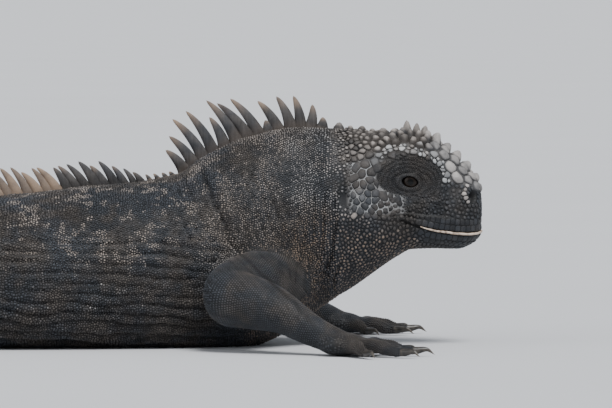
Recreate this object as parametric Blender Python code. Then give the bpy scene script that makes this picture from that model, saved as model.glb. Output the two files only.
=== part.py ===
"""A life-size marine iguana at rest on its belly with its head raised.

Lengths in the tables below are millimetres and angles are degrees; the meshes are made in metres.
+X is towards the snout, +Z is up, and the origin is on the floor under the middle of the belly.
"""

import math
import random

import bmesh
import bpy
import numpy as np
from mathutils import Matrix, Vector
from mathutils.bvhtree import BVHTree

MM = 0.001
GAP = 0.3
SNOUT_X = 225.6
BODY_LENGTH = 835.0

# Outline of the body: distance behind the snout tip, height of the back, height of the underside
# (below 0 where the floor flattens it), half width, height of the widest point, and the power of
# the curve above and below that point: 2 is an ellipse, more is squarer, less is a ridge.
OUTLINE = (
    (0.0, 66.0, 60.0, 0.0, 63.0, 2.0, 2.0),  # snout tip
    (0.9, 75.0, 52.5, 9.5, 63.0, 2.1, 2.2),
    (3.5, 80.0, 49.2, 13.6, 63.0, 2.2, 2.4),  # nostrils
    (7.0, 84.0, 47.2, 16.0, 63.0, 2.3, 2.5),
    (12.0, 89.2, 46.0, 17.6, 63.0, 2.3, 2.6),
    (17.0, 93.4, 46.0, 18.8, 64.0, 2.3, 2.6),
    (22.0, 97.4, 46.2, 20.0, 65.0, 2.3, 2.6),  # forehead
    (33.6, 100.6, 45.8, 22.6, 66.0, 2.4, 2.5),  # eyes
    (41.0, 101.0, 42.0, 24.8, 65.0, 2.4, 2.4),  # mouth corners
    (48.5, 101.4, 37.0, 26.8, 62.0, 2.3, 2.3),
    (57.0, 102.2, 31.0, 28.0, 60.0, 2.2, 2.2),  # jowls
    (66.0, 103.2, 25.0, 27.0, 58.0, 2.0, 2.1),  # ears
    (78.0, 104.0, 17.0, 26.6, 55.0, 1.9, 2.1),
    (89.0, 104.2, 9.0, 28.4, 50.0, 1.8, 2.2),  # middle of the neck
    (98.0, 103.0, 4.0, 31.5, 46.0, 1.8, 2.3),
    (107.0, 101.0, 0.0, 35.0, 42.0, 1.8, 2.4),  # shoulders
    (117.0, 98.0, -2.0, 38.6, 39.0, 1.8, 2.4),
    (134.0, 89.6, -3.0, 44.0, 35.0, 1.8, 2.4),
    (146.0, 82.0, -3.0, 46.8, 33.0, 1.9, 2.4),
    (163.0, 78.6, -3.0, 49.6, 31.0, 2.0, 2.4),
    (184.0, 76.6, -3.0, 52.6, 30.0, 2.0, 2.4),
    (230.0, 71.4, -3.0, 55.6, 28.0, 2.1, 2.4),  # widest part of the belly
    (265.0, 68.0, -3.0, 54.5, 27.0, 2.1, 2.4),
    (300.0, 63.0, -2.6, 48.5, 26.0, 2.1, 2.4),
    (330.0, 56.5, -2.2, 39.5, 25.0, 2.1, 2.4),  # hips
    (355.0, 49.5, -2.0, 30.0, 23.0, 2.1, 2.3),  # vent
    (385.0, 43.5, -1.8, 21.0, 19.0, 2.0, 2.2),  # root of the tail
    (440.0, 39.5, -1.5, 14.5, 16.5, 1.9, 2.1),
    (520.0, 34.5, -1.2, 10.8, 14.0, 1.8, 2.1),
    (620.0, 28.0, -1.0, 7.8, 11.5, 1.8, 2.0),
    (720.0, 20.0, -0.8, 5.2, 8.5, 1.8, 2.0),
    (800.0, 11.5, -0.5, 3.2, 5.0, 1.9, 2.0),
    (835.0, 4.4, -0.3, 1.4, 2.2, 2.0, 2.0),  # tail tip
)
# Where the midline heads as it runs back: distance behind the snout tip, turn towards +Y
HEADINGS = ((0.0, 0.0), (300.0, 0.0), (440.0, 20.0), (560.0, 30.0), (700.0, 6.0), (835.0, -34.0))

# Lofts that the neck and trunk are cut from: first and last distance, step, points round
NECK_SPAN = (62.0, 156.0, 5.5, 26)
TRUNK_SPAN = (70.0, 372.0, 12.0, 24)
# Cuts across the body: a point on the cut and the direction that it faces, in the X-Z plane
HEAD_CUT = ((152.5, 70.0), (1.0, -0.15))
NECK_CUT = ((103.5, 51.5), (1.0, 0.78))
TAIL_CUTS = (362.0, 470.0, 585.0, 705.0)

EYE_CENTRE = (190.8, 14.6, 78.6)
EYE_RADIUS = 5.4
LID_RADIUS = 7.0
EYE_OPENING = (8.4, 5.2)
EYE_TILT = -10.0
MOUTH_LINE = ((187.6, 59.8), (193.4, 57.8), (199.5, 56.0), (208.6, 54.4), (217.8, 53.6), (226.0, 54.4))
MOUTH_PIVOT_X = 205.0
MOUTH_TURN = 118.0
MOUTH_DEPTH = 2.0
MOUTH_OPENING = 0.8
NOSTRIL = (220.6, 71.6)
NOSTRIL_RADII = (1.5, 2.2, 2.0)
EAR = (159.3, 70.0)
EAR_RADII = (3.6, 1.6, 5.6)

# Relief of one side of the head: place along X, height, reach along X, reach in height, rise
HEAD_RELIEF = (
    (191.0, 78.2, 15.0, 8.6, -2.2),  # eye basin
    (195.0, 92.0, 14.0, 3.0, 1.3),  # brow
    (211.5, 75.0, 5.5, 5.5, -1.2),  # hollow before the eye
    (220.0, 71.6, 3.6, 3.6, 1.0),  # nostril mound
    (205.0, 60.0, 16.0, 2.6, 0.7),  # upper lip
    (204.0, 50.6, 16.0, 2.6, 0.6),  # lower lip
    (171.0, 62.0, 9.0, 11.0, 1.6),  # jowl
)

# Spines of the nape, front to rear: distance behind the snout tip, length, lean backwards
NAPE_SPINES = (
    (76.5, 5.5, -3.0),
    (82.0, 11.5, -5.0),
    (86.7, 15.0, 12.0),
    (91.3, 17.0, 24.0),
    (97.2, 17.5, 35.0),
    (102.2, 6.0, 14.0),
    (106.6, 20.0, 38.0),
    (111.6, 20.0, 42.0),
    (117.2, 22.0, 36.0),
    (123.0, 16.0, 27.0),
    (128.4, 22.0, 33.0),
    (133.2, 22.0, 38.0),
    (137.8, 15.0, 41.0),
    (142.2, 13.5, 42.0),
)
NAPE_BASE = (4.6, 2.3)
# Spines of the back and tail: distance behind the snout tip, length, spacing
BACK_SPINES = (
    (148.0, 2.4, 4.7),
    (160.0, 3.6, 4.7),
    (176.0, 10.0, 4.7),
    (192.0, 14.0, 4.7),
    (330.0, 13.0, 5.6),
    (420.0, 9.0, 9.0),
    (520.0, 7.5, 12.0),
    (705.0, 5.0, 14.0),
    (820.0, 3.0, 14.0),
)
BACK_LEAN = 37.0
BACK_BASE = (4.4, 2.1)  # length and thickness of the base of the longest spine there
BASE_LEAST = 0.4  # size of the base of a spine with no length, as a share of that
SPINE_CURL = 14.0
SPINE_TAPER = 1.4  # above 1, a spine keeps its thickness longer and comes to its point sooner
SPINE_ROOT = 3.6
ROOT_WAIST = 0.85  # thickness at the bottom of the root, as a share of the base
SPINE_BEND = 1.2  # how deep in the back a spine begins to lean

# Rows of knobs on each side of the head: degrees round from the top, distance of the first and the
# last behind the snout tip, spacing, radius, share of the knob height there
KNOB_ROWS = (
    (9.0, 3.0, 62.0, 6.6, 2.6, 1.0),
    (30.0, 6.0, 62.0, 7.0, 2.8, 0.9),
    (51.0, 10.0, 62.0, 7.4, 2.8, 0.7),
    (72.0, 46.0, 60.0, 7.0, 3.0, 0.4),
)
KNOB_HEIGHTS = ((3.0, 1.8), (14.0, 2.4), (20.0, 3.4), (26.0, 5.0), (36.0, 5.6), (43.0, 3.2), (66.0, 2.6))
KNOB_ROOT = 2.0
KNOB_TOP = 0.5  # radius at the top, as a share of that at the skin
KNOB_SEED = 7
KNOB_STRAY = 0.8
KNOB_SIZES = (0.85, 1.1)

# Joints of a limb from its root inside the body to the middle of its palm, each with a radius: the
# root, the upper bone, the elbow or knee, the lower bone, the wrist or ankle and the palm. These are
# the right limbs, on the -Y side.
FORE_LIMB = (
    ((135.0, -12.0, 32.0), 14.5),
    ((121.0, -39.0, 33.5), 13.0),
    ((107.0, -60.0, 26.5), 14.6),
    ((126.0, -76.0, 21.0), 12.6),
    ((146.0, -86.0, 11.0), 8.4),
    ((158.0, -91.0, 5.6), 6.2),
)
HIND_LIMB = (
    ((-101.0, -14.0, 30.0), 19.0),
    ((-86.0, -46.0, 33.0), 17.0),
    ((-68.0, -72.0, 32.0), 13.0),
    ((-88.0, -86.0, 21.0), 10.2),
    ((-108.0, -93.0, 10.5), 7.6),
    ((-99.0, -103.0, 5.5), 6.0),
)
# Palm: radii and heading; then each toe's turn from that heading, length past the palm and stoutness
FORE_PALM = ((12.0, 10.5, 5.8), -12.0)
FORE_TOES = ((66.0, 12.0, 0.95), (34.0, 18.0, 1.0), (6.0, 22.0, 1.0), (-22.0, 22.0, 1.0), (-54.0, 16.0, 0.95))
HIND_PALM = ((14.0, 11.5, 6.0), -34.0)
HIND_TOES = ((54.0, 14.0, 0.95), (31.0, 21.0, 1.0), (10.0, 29.0, 1.05), (-12.0, 36.0, 1.05), (-54.0, 19.0, 1.0))
# Toe and claw from root to tip: share of the length, height, radius; a claw's heights are above its toe
TOE_ARCH = ((0.0, 4.6, 4.0), (0.55, 4.9, 3.5), (0.9, 2.6, 2.5), (1.0, 2.5, 2.3))
CLAW_ARCH = ((0.0, 0.0, 2.0), (0.12, 0.0, 1.95), (0.6, 0.7, 1.15), (1.0, -1.7, 0.0))
CLAW_LENGTH = 10.5


def smooth_curve(xs, ys, x):
    """Reads at x the cubic that runs through the points without overshoot."""
    xs, ys, x = (np.asarray(values, float) for values in (xs, ys, x))
    step = np.diff(xs)
    rise = np.diff(ys) / step
    slope = np.zeros_like(ys)
    slope[0], slope[-1] = rise[0], rise[-1]
    same_way = rise[:-1] * rise[1:] > 0
    near, far = 2 * step[1:] + step[:-1], step[1:] + 2 * step[:-1]
    safe = [np.where(same_way, side, 1.0) for side in (rise[:-1], rise[1:])]
    slope[1:-1] = np.where(same_way, (near + far) / (near / safe[0] + far / safe[1]), 0.0)
    i = np.clip(np.searchsorted(xs, x) - 1, 0, len(xs) - 2)
    t = np.clip((x - xs[i]) / step[i], 0.0, 1.0)
    start = (1 + 2 * t) * (1 - t) ** 2 * ys[i] + t * (1 - t) ** 2 * step[i] * slope[i]
    end = t * t * (3 - 2 * t) * ys[i + 1] + t * t * (t - 1) * step[i] * slope[i + 1]
    return start + end


def outline_at(distance):
    """Back, underside, half width, widest height and the two powers at a distance from the snout."""
    table = np.array(OUTLINE)
    return [smooth_curve(np.sqrt(table[:, 0]), table[:, k], np.sqrt(distance)) for k in range(1, 7)]


def midline_at(distance):
    """X, Y and heading in radians of the midline at a distance from the snout."""
    fine = np.linspace(0.0, BODY_LENGTH, 1671)
    spots, turns = zip(*HEADINGS)
    heading = np.radians(smooth_curve(spots, turns, fine))
    step = fine[1] - fine[0]
    x = SNOUT_X - np.concatenate(([0.0], np.cumsum(np.cos(heading[1:]) * step)))
    y = np.concatenate(([0.0], np.cumsum(np.sin(heading[1:]) * step)))
    return [np.interp(distance, fine, values) for values in (x, y, heading)]


def bent(value, power):
    """A sine or cosine bent so that its circle becomes a curve of that power."""
    return np.sign(value) * np.abs(value) ** (2.0 / power)


def head_relief(points):
    """How far the skin of the head rises or sinks at each point."""
    rise = np.zeros(points.shape[:-1])
    beside = np.clip((np.abs(points[..., 1]) - 5.0) / 5.0, 0.0, 1.0)
    for x, z, reach_x, reach_z, height in HEAD_RELIEF:
        away = ((points[..., 0] - x) / reach_x) ** 2 + ((points[..., 2] - z) / reach_z) ** 2
        rise += height * np.exp(-(away**1.3)) * beside
    return rise


def grid_normals(grid):
    """Outward directions on a grid of rings."""
    along = np.gradient(grid, axis=0)
    round_ring = np.roll(grid, -1, axis=1) - np.roll(grid, 1, axis=1)
    normal = np.cross(round_ring, along)
    return normal / np.maximum(np.linalg.norm(normal, axis=-1, keepdims=True), 1e-9)


def body_rings(distances, around, proud=0.0):
    """Rings of the body's skin, each starting at the middle of the back and going round by the left."""
    distances = np.asarray(distances, float)
    back, under, half, widest, above, below = (v[:, None] for v in outline_at(distances))
    x, y, heading = (v[:, None] for v in midline_at(distances))
    angle = np.linspace(0.0, 2 * math.pi, around, endpoint=False)[None, :]
    sine, cosine = np.sin(angle), np.cos(angle)
    upper = cosine >= 0
    power = np.where(upper, above, below)
    across = half * bent(sine, power)
    z = widest + np.where(upper, back - widest, widest - under) * bent(cosine, power)
    grid = np.stack([x + across * np.sin(heading), y + across * np.cos(heading), z], axis=-1)
    return grid + grid_normals(grid) * (head_relief(grid) + proud)[..., None]


def object_from(made, name):
    """A new object with the mesh that was made, its faces turned outwards."""
    bmesh.ops.recalc_face_normals(made, faces=made.faces)
    mesh = bpy.data.meshes.new(name)
    made.to_mesh(mesh)
    made.free()
    obj = bpy.data.objects.new(name, mesh)
    COLLECTION.objects.link(obj)
    return obj


def loft(name, rings, material=None):
    """A closed skin over rings of equal counts, capped at both ends; a ring of one point is a tip."""
    points, starts = [], []
    for ring in rings:
        starts.append(len(points))
        points.extend(np.atleast_2d(ring))
    faces = []
    for k in range(len(rings) - 1):
        a, b = starts[k], starts[k + 1]
        size_a, size_b = len(np.atleast_2d(rings[k])), len(np.atleast_2d(rings[k + 1]))
        size = max(size_a, size_b)
        for j in range(size):
            n = (j + 1) % size
            near = [a + j, a + n] if size_a > 1 else [a]
            far = [b + n, b + j] if size_b > 1 else [b]
            faces.append(near + far)
    for start, ring in ((starts[0], rings[0]), (starts[-1], rings[-1])):
        if len(np.atleast_2d(ring)) > 1:
            faces.append(range(start, start + len(ring)))
    mesh = bpy.data.meshes.new(name)
    mesh.from_pydata((np.array(points, float) * MM).tolist(), [], [list(face) for face in faces])
    made = bmesh.new()
    made.from_mesh(mesh)
    obj = object_from(made, name)
    if material:
        obj.data.materials.append(material)
    return obj


def stretch_of_body(name, first, last, step, around, proud=0.0, material=None):
    """A closed stretch of the body's skin between two distances behind the snout tip."""
    return loft(name, list(body_rings(distances_between(first, last, step), around, proud)), material)


def evaluated_copy(obj):
    """Replaces an object's mesh by what its modifiers make of it."""
    bpy.context.view_layer.update()
    graph = bpy.context.evaluated_depsgraph_get()
    mesh = bpy.data.meshes.new_from_object(obj.evaluated_get(graph))
    obj.modifiers.clear()
    obj.data = mesh


def tidy_faces(made):
    """Triangles only, without slivers and without pairs that lie back to back."""
    bmesh.ops.dissolve_degenerate(made, dist=MM * 0.01, edges=made.edges)
    bmesh.ops.triangulate(made, faces=made.faces)
    alike = {}
    for face in made.faces:
        alike.setdefault(frozenset(face.verts), []).append(face)
    twins = [face for faces in alike.values() for face in faces[: len(faces) // 2 * 2]]
    bmesh.ops.delete(made, geom=twins, context="FACES")


def keep_largest(obj):
    """Drops every loose body of a mesh but the one that encloses most."""
    made = bmesh.new()
    made.from_mesh(obj.data)
    tidy_faces(made)
    unseen = set(made.verts)
    bodies = []
    while unseen:
        front = [unseen.pop()]
        body = set(front)
        while front:
            around = {edge.other_vert(v) for v in front for edge in v.link_edges}
            front = [v for v in around if v in unseen]
            unseen.difference_update(front)
            body.update(front)
        bodies.append(body)

    def volume(body):
        faces = {face for vert in body for face in vert.link_faces}
        corners = ([v.co for v in face.verts] for face in faces)
        return sum(a.dot(b.cross(c)) for a, b, c in corners)

    largest = max(bodies, key=volume)
    bmesh.ops.delete(made, geom=[v for v in made.verts if v not in largest], context="VERTS")
    made.to_mesh(obj.data)
    made.free()


def boolean(obj, operation, pieces, solver="EXACT"):
    """Joins pieces to an object, or cuts them from it, and removes them."""
    group = bpy.data.collections.new(obj.name + "_pieces")
    for piece in pieces:
        COLLECTION.objects.unlink(piece)
        group.objects.link(piece)
    bpy.context.scene.collection.children.link(group)
    modifier = obj.modifiers.new(operation, "BOOLEAN")
    modifier.operation = operation
    modifier.operand_type = "COLLECTION"
    modifier.collection = group
    modifier.solver = solver
    evaluated_copy(obj)
    for piece in pieces:
        bpy.data.objects.remove(piece)
    bpy.data.collections.remove(group)
    keep_largest(obj)


def keep_side(obj, point, direction):
    """Cuts an object at a plane and keeps, closed, the side that the direction points to."""
    made = bmesh.new()
    made.from_mesh(obj.data)
    cut = bmesh.ops.bisect_plane(
        made,
        geom=made.verts[:] + made.edges[:] + made.faces[:],
        dist=1e-7,
        plane_co=Vector(point) * MM,
        plane_no=Vector(direction).normalized(),
        clear_inner=True,
    )
    rim = [e for e in cut["geom_cut"] if isinstance(e, bmesh.types.BMEdge) and e.is_boundary]
    bmesh.ops.holes_fill(made, edges=rim)
    bmesh.ops.triangulate(made, faces=made.faces)
    made.to_mesh(obj.data)
    made.free()


def part_at(obj, point, direction):
    """Keeps the side ahead of a plane, half a gap clear of it."""
    ahead = Vector(direction).normalized()
    keep_side(obj, Vector(point) + ahead * (GAP / 2), ahead)


def on_floor(obj):
    """Flattens the underside of an object where it rests."""
    keep_side(obj, (0.0, 0.0, 0.0), (0.0, 0.0, 1.0))


def ellipsoid(name, centre, radii, segments=16, rings=10):
    """A closed ball with three radii."""
    made = bmesh.new()
    matrix = Matrix.Translation(Vector(centre) * MM) @ Matrix.Diagonal((*(Vector(radii) * MM), 1.0))
    bmesh.ops.create_uvsphere(made, u_segments=segments, v_segments=rings, radius=1.0, matrix=matrix)
    return object_from(made, name)


def tube(name, line, radii, resolution):
    """A closed tube along a line in millimetres, with a radius at each point; 0 makes a tip."""
    curve = bpy.data.curves.new(name, "CURVE")
    curve.dimensions = "3D"
    curve.twist_mode = "Z_UP"
    curve.bevel_depth = MM
    curve.bevel_resolution = resolution
    curve.use_fill_caps = True
    run = curve.splines.new("POLY")
    run.points.add(len(line) - 1)
    for point, place, radius in zip(run.points, line, radii):
        point.co = (*(Vector(place) * MM), 1.0)
        point.radius = radius
    guide = bpy.data.objects.new(name, curve)
    COLLECTION.objects.link(guide)
    bpy.context.view_layer.update()
    graph = bpy.context.evaluated_depsgraph_get()
    mesh = bpy.data.meshes.new_from_object(guide.evaluated_get(graph))
    bpy.data.objects.remove(guide)
    made = bmesh.new()
    made.from_mesh(mesh)
    bmesh.ops.remove_doubles(made, verts=made.verts, dist=MM * 0.001)
    return object_from(made, name)


def surface_of(obj):
    """A tree that finds where a line meets the object, in metres."""
    made = bmesh.new()
    made.from_mesh(obj.data)
    tree = BVHTree.FromBMesh(made)
    made.free()
    return tree


def hit(tree, start, direction):
    """Point in millimetres and normal where a line from inside meets the surface."""
    place, normal, _, _ = tree.ray_cast(Vector(start) * MM, Vector(direction).normalized())
    return place / MM, normal


def distances_between(first, last, step):
    return np.linspace(first, last, max(2, round((last - first) / step) + 1))


def mouth_height(x):
    """Height of the line of the mouth at a place along X."""
    return float(smooth_curve(*zip(*MOUTH_LINE), x))


def mouth_blade(tree):
    """The thin curved cutter that parts the lips, from one corner of the mouth round to the other."""
    rings = []
    for turn in np.radians(np.linspace(-MOUTH_TURN, MOUTH_TURN, 23)):
        ray = Vector((math.cos(turn), math.sin(turn), 0.0))
        spot = Vector((MOUTH_PIVOT_X, 0.0, mouth_height(MOUTH_PIVOT_X)))
        for _ in range(3):
            spot, _ = hit(tree, (MOUTH_PIVOT_X, 0.0, mouth_height(spot.x)), ray)
        inner, outer = spot - ray * MOUTH_DEPTH, spot + ray * 3.0
        rise = Vector((0.0, 0.0, MOUTH_OPENING / 2))
        rings.append([inner - rise, inner + rise, outer + rise * 2, outer - rise * 2])
    return loft("mouth_cutter", rings)


def lid_opening(side):
    """The almond that the lids leave open, as a cutter that runs out from the eye."""
    turn = np.linspace(0.0, 2 * math.pi, 14, endpoint=False)
    long, high = EYE_OPENING[0] / 2, EYE_OPENING[1] / 2
    tilt = math.radians(EYE_TILT)
    x, z = long * np.cos(turn), high * np.sin(turn) * np.abs(np.sin(turn)) ** 0.25
    across = EYE_CENTRE[0] + x * math.cos(tilt) - z * math.sin(tilt)
    up = EYE_CENTRE[2] + x * math.sin(tilt) + z * math.cos(tilt)
    rings = [np.stack([across, np.full_like(x, side * y), up], -1) for y in (EYE_CENTRE[1], 30.0)]
    return loft("lid_cutter", rings)


def eye_place(side):
    return (EYE_CENTRE[0], side * EYE_CENTRE[1], EYE_CENTRE[2])


def skin_at(distance, angle):
    """Place and outward direction of the skin at a distance and an angle round from the top."""
    rings = body_rings([distance - 0.4, distance, distance + 0.4], 120)
    k = round(angle / 3.0) % 120
    return Vector(rings[1, k]), Vector(grid_normals(rings)[1, k])


def make_knob(distance, angle, radius, height):
    """One knob of the head, its root sunk in the skin."""
    place, outward = skin_at(distance, angle)
    deep = KNOB_ROOT + height
    middle = place + outward * (height - deep / 2)
    made = bmesh.new()
    turned = outward.to_track_quat("Z", "Y").to_matrix().to_4x4()
    bmesh.ops.create_cone(
        made,
        cap_ends=True,
        segments=5,
        radius1=radius * MM,
        radius2=radius * KNOB_TOP * MM,
        depth=deep * MM,
        matrix=Matrix.Translation(middle * MM) @ turned,
    )
    return object_from(made, "knob")


def make_knobs():
    """The knobs on both sides of the head, no two alike."""
    draw = random.Random(KNOB_SEED)
    knobs = []
    for row, (angle, first, last, spacing, radius, share) in enumerate(KNOB_ROWS):
        for distance in distances_between(first, last, spacing):
            for side in (-1, 1):
                spot = distance + draw.uniform(-KNOB_STRAY, KNOB_STRAY)
                tall = float(smooth_curve(*zip(*KNOB_HEIGHTS), spot)) * share * draw.uniform(*KNOB_SIZES)
                knobs.append(make_knob(spot, side * angle, radius * draw.uniform(*KNOB_SIZES), tall))
    return knobs


def make_head(material):
    """The head with its knobs, lids, mouth, nostrils and ears."""
    near = SNOUT_X - HEAD_CUT[0][0] + 8.0
    front = np.array([0.25, 1.0, 2.2, 3.8, 5.8, 8.0])
    distances = np.concatenate([front, distances_between(10.6, near, 3.1)])
    rings = [np.array([[SNOUT_X, 0.0, 63.0]]), *body_rings(distances, 32)]
    head = loft("head", rings, material)
    tree = surface_of(head)
    lids = [ellipsoid("lid", eye_place(side), (LID_RADIUS,) * 3, 14, 9) for side in (-1, 1)]
    boolean(head, "UNION", lids + make_knobs())
    cutters = [mouth_blade(tree)]
    for side in (-1, 1):
        cutters.append(lid_opening(side))
        cutters.append(ellipsoid("socket", eye_place(side), (EYE_RADIUS + GAP,) * 3, 14, 8))
        nostril, _ = hit(tree, (NOSTRIL[0] - 4.0, 0.0, NOSTRIL[1]), (4.0, side * 12.0, 0.0))
        cutters.append(ellipsoid("nostril", nostril, NOSTRIL_RADII, 8, 5))
        ear, _ = hit(tree, (EAR[0], 0.0, EAR[1]), (0.0, side, 0.0))
        cutters.append(ellipsoid("ear", ear, EAR_RADII, 12, 7))
    boolean(head, "DIFFERENCE", cutters)
    part_at(head, (HEAD_CUT[0][0], 0.0, HEAD_CUT[0][1]), (HEAD_CUT[1][0], 0.0, HEAD_CUT[1][1]))
    return head


def make_spine(distance, length, lean, base, segments, resolution):
    """A flattened spine of the crest: it rises from inside the body, curls back and ends in a point."""
    x, y, heading = midline_at(distance)
    place = Vector((x, y, outline_at(distance)[0]))
    back = Vector((-math.cos(heading), math.sin(heading), 0.0))
    line = [Vector((0.0, -SPINE_ROOT, 0.0)), Vector((0.0, -SPINE_BEND, 0.0))]
    radii = [ROOT_WAIST * base[0] / 2, base[0] / 2]
    for k in range(segments):
        turn = math.radians(lean + SPINE_CURL * (2 * k / (segments - 1) - 1))
        step = length / segments
        line.append(line[-1] + Vector((math.sin(turn) * step, math.cos(turn) * step, 0.0)))
        radii.append(base[0] / 2 * (1 - ((k + 1) / segments) ** SPINE_TAPER))
    spine = tube("spine", line, radii, resolution)
    flat = Matrix.Diagonal((1.0, 1.0, base[1] / base[0], 1.0))
    up = Vector((0.0, 0.0, 1.0))
    upright = Matrix((back, up, back.cross(up))).transposed().to_4x4()
    spine.data.transform(Matrix.Translation(place * MM) @ upright @ flat)
    return spine


def back_spines(first, last):
    """The spines of the back or the tail between two cuts, evenly spread."""
    spots, lengths, spacings = zip(*BACK_SPINES)
    spacing = float(smooth_curve(spots, spacings, (first + last) / 2))
    count = round((last - first) / spacing)
    spacing = (last - first) / count
    spines = []
    for k in range(count):
        distance = first + (k + 0.5) * spacing
        length = float(smooth_curve(spots, lengths, distance))
        size = BASE_LEAST + (1.0 - BASE_LEAST) * length / max(lengths)
        base = (BACK_BASE[0] * size, BACK_BASE[1] * size)
        spines.append(make_spine(distance, length, BACK_LEAN, base, 2, 0))
    return spines


def make_neck(material):
    """The neck with the tall crest of the nape."""
    neck = stretch_of_body("neck", *NECK_SPAN, material=material)
    on_floor(neck)
    part_at(neck, (HEAD_CUT[0][0], 0.0, HEAD_CUT[0][1]), (-HEAD_CUT[1][0], 0.0, -HEAD_CUT[1][1]))
    part_at(neck, (NECK_CUT[0][0], 0.0, NECK_CUT[0][1]), (NECK_CUT[1][0], 0.0, NECK_CUT[1][1]))
    boolean(neck, "UNION", [make_spine(*spine, NAPE_BASE, 3, 1) for spine in NAPE_SPINES])
    return neck


def make_torso(material):
    """The trunk from the shoulders to the vent, with the crest of the back."""
    torso = stretch_of_body("torso", *TRUNK_SPAN, material=material)
    on_floor(torso)
    part_at(torso, (NECK_CUT[0][0], 0.0, NECK_CUT[0][1]), (-NECK_CUT[1][0], 0.0, -NECK_CUT[1][1]))
    x, y, heading = midline_at(TAIL_CUTS[0])
    part_at(torso, (x, y, 0.0), (math.cos(heading), -math.sin(heading), 0.0))
    boolean(torso, "UNION", back_spines(BACK_SPINES[0][0], TAIL_CUTS[0] - 1.0))
    return torso


def make_tail(material):
    """The tail in lengths, each with its stretch of crest."""
    ends = (*TAIL_CUTS, BODY_LENGTH)
    names = ("tail_base", "tail_front", "tail_rear", "tail_tip")
    for name, first, last in zip(names, ends, ends[1:]):
        final = last == BODY_LENGTH
        span = (first - 8.0, last if final else last + 8.0, 14.0, 12)
        length = stretch_of_body(name, *span, material=material)
        on_floor(length)
        x, y, heading = midline_at(first)
        part_at(length, (x, y, 0.0), (-math.cos(heading), math.sin(heading), 0.0))
        if not final:
            x, y, heading = midline_at(last)
            part_at(length, (x, y, 0.0), (math.cos(heading), -math.sin(heading), 0.0))
        boolean(length, "UNION", back_spines(first + 1.0, BACK_SPINES[-1][0] if final else last - 1.0))


def spline(points, count):
    """Points along a smooth line through the given ones."""
    points = np.array(points, float)
    spots = np.concatenate(([0.0], np.cumsum(np.linalg.norm(np.diff(points, axis=0), axis=1))))
    fine = np.linspace(0.0, spots[-1], count)
    return np.stack([smooth_curve(spots, points[:, k], fine) for k in range(3)], -1), fine / spots[-1]


def mirrored(place, side):
    """A place of a right limb, moved to the left one when side is 1."""
    return Vector((place[0], -side * place[1], place[2]))


def make_toe(palm, radii, heading, toe, side):
    """A toe that lies on the floor from inside the palm, with the place and direction of its end."""
    turn, length, stout = toe
    angle = math.radians(heading + turn)
    ahead = Vector((math.cos(angle), side * -math.sin(angle), 0.0))
    floor = Vector((palm.x, palm.y, 0.0))
    first, last = radii[1] * 0.25, length + radii[0]
    line = [floor + ahead * (first + (last - first) * f) + Vector((0, 0, z)) for f, z, _ in TOE_ARCH]
    return tube("toe", line, [radius * stout for _, _, radius in TOE_ARCH], 1), line[-1], ahead


def make_claw(name, tip, ahead, size, material):
    """A curved claw, standing the gap clear of the toe's end."""
    start = tip + ahead * GAP
    line = [start + ahead * (CLAW_LENGTH * size * f) + Vector((0, 0, z)) for f, z, _ in CLAW_ARCH]
    claw = tube(name, line, [radius * size for _, _, radius in CLAW_ARCH], 1)
    claw.data.materials.append(material)


def make_limb(names, joints, palm, toes, side, skin, horn):
    """A leg in its upper part, lower part and foot, with the claws of its toes."""
    side_name = "left" if side > 0 else "right"
    places = [mirrored(place, side) for place, _ in joints]
    line, spots = spline(places, 16)
    radii = smooth_curve(np.linspace(0.0, 1.0, len(joints)), [radius for _, radius in joints], spots)
    limb = tube("limb", line, radii, 4)
    pieces = [ellipsoid("palm", places[-1], palm[0], 12, 6)]
    for number, toe in enumerate(toes, 1):
        made, tip, ahead = make_toe(places[-1], *palm, toe, side)
        pieces.append(made)
        make_claw(f"{names[2]}_claw_{number}_{side_name}", tip, ahead, toe[2], horn)
    boolean(limb, "UNION", pieces, "MANIFOLD")
    clearance = [stretch_of_body("clearance", *span, GAP) for span in (NECK_SPAN, TRUNK_SPAN)]
    boolean(limb, "DIFFERENCE", clearance, "MANIFOLD")
    on_floor(limb)
    bends = []
    for before, at, after in ((0, 2, 4), (2, 4, 5)):
        come = (places[at] - places[before]).normalized()
        go = (places[after] - places[at]).normalized()
        bends.append((places[at], come + go))
    for k, part in enumerate(names):
        piece = bpy.data.objects.new(f"{part}_{side_name}", limb.data.copy())
        COLLECTION.objects.link(piece)
        piece.data.materials.clear()
        piece.data.materials.append(skin)
        if k > 0:
            part_at(piece, *bends[k - 1])
        if k < 2:
            part_at(piece, bends[k][0], -bends[k][1])
        keep_largest(piece)
    bpy.data.objects.remove(limb)


def finish(name, colour, roughness):
    """A plain material."""
    material = bpy.data.materials.new(name)
    material.use_nodes = True
    shader = material.node_tree.nodes["Principled BSDF"]
    shader.inputs["Base Color"].default_value = (*colour, 1.0)
    shader.inputs["Roughness"].default_value = roughness
    return material


def shade(obj):
    """Smooth shading that keeps the cut faces crisp."""
    obj.data.shade_smooth()
    obj.data.set_sharp_from_angle(angle=math.radians(40.0))


def make_iguana():
    skin = finish("scaly_skin", (0.045, 0.047, 0.052), 0.75)
    horn = finish("claw_horn", (0.03, 0.028, 0.026), 0.4)
    eye = finish("eye", (0.02, 0.014, 0.01), 0.08)
    make_head(skin)
    make_neck(skin)
    make_torso(skin)
    make_tail(skin)
    for side in (-1, 1):
        ball = ellipsoid("eye_left" if side > 0 else "eye_right", eye_place(side), (EYE_RADIUS,) * 3, 14, 8)
        ball.data.materials.append(eye)
        make_limb(("upper_arm", "forearm", "hand"), FORE_LIMB, FORE_PALM, FORE_TOES, side, skin, horn)
        make_limb(("thigh", "shin", "foot"), HIND_LIMB, HIND_PALM, HIND_TOES, side, skin, horn)
    for obj in COLLECTION.objects:
        shade(obj)


for old in list(bpy.data.objects):
    bpy.data.objects.remove(old)
COLLECTION = bpy.data.collections.new("marine_iguana")
bpy.context.scene.collection.children.link(COLLECTION)
make_iguana()
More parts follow.
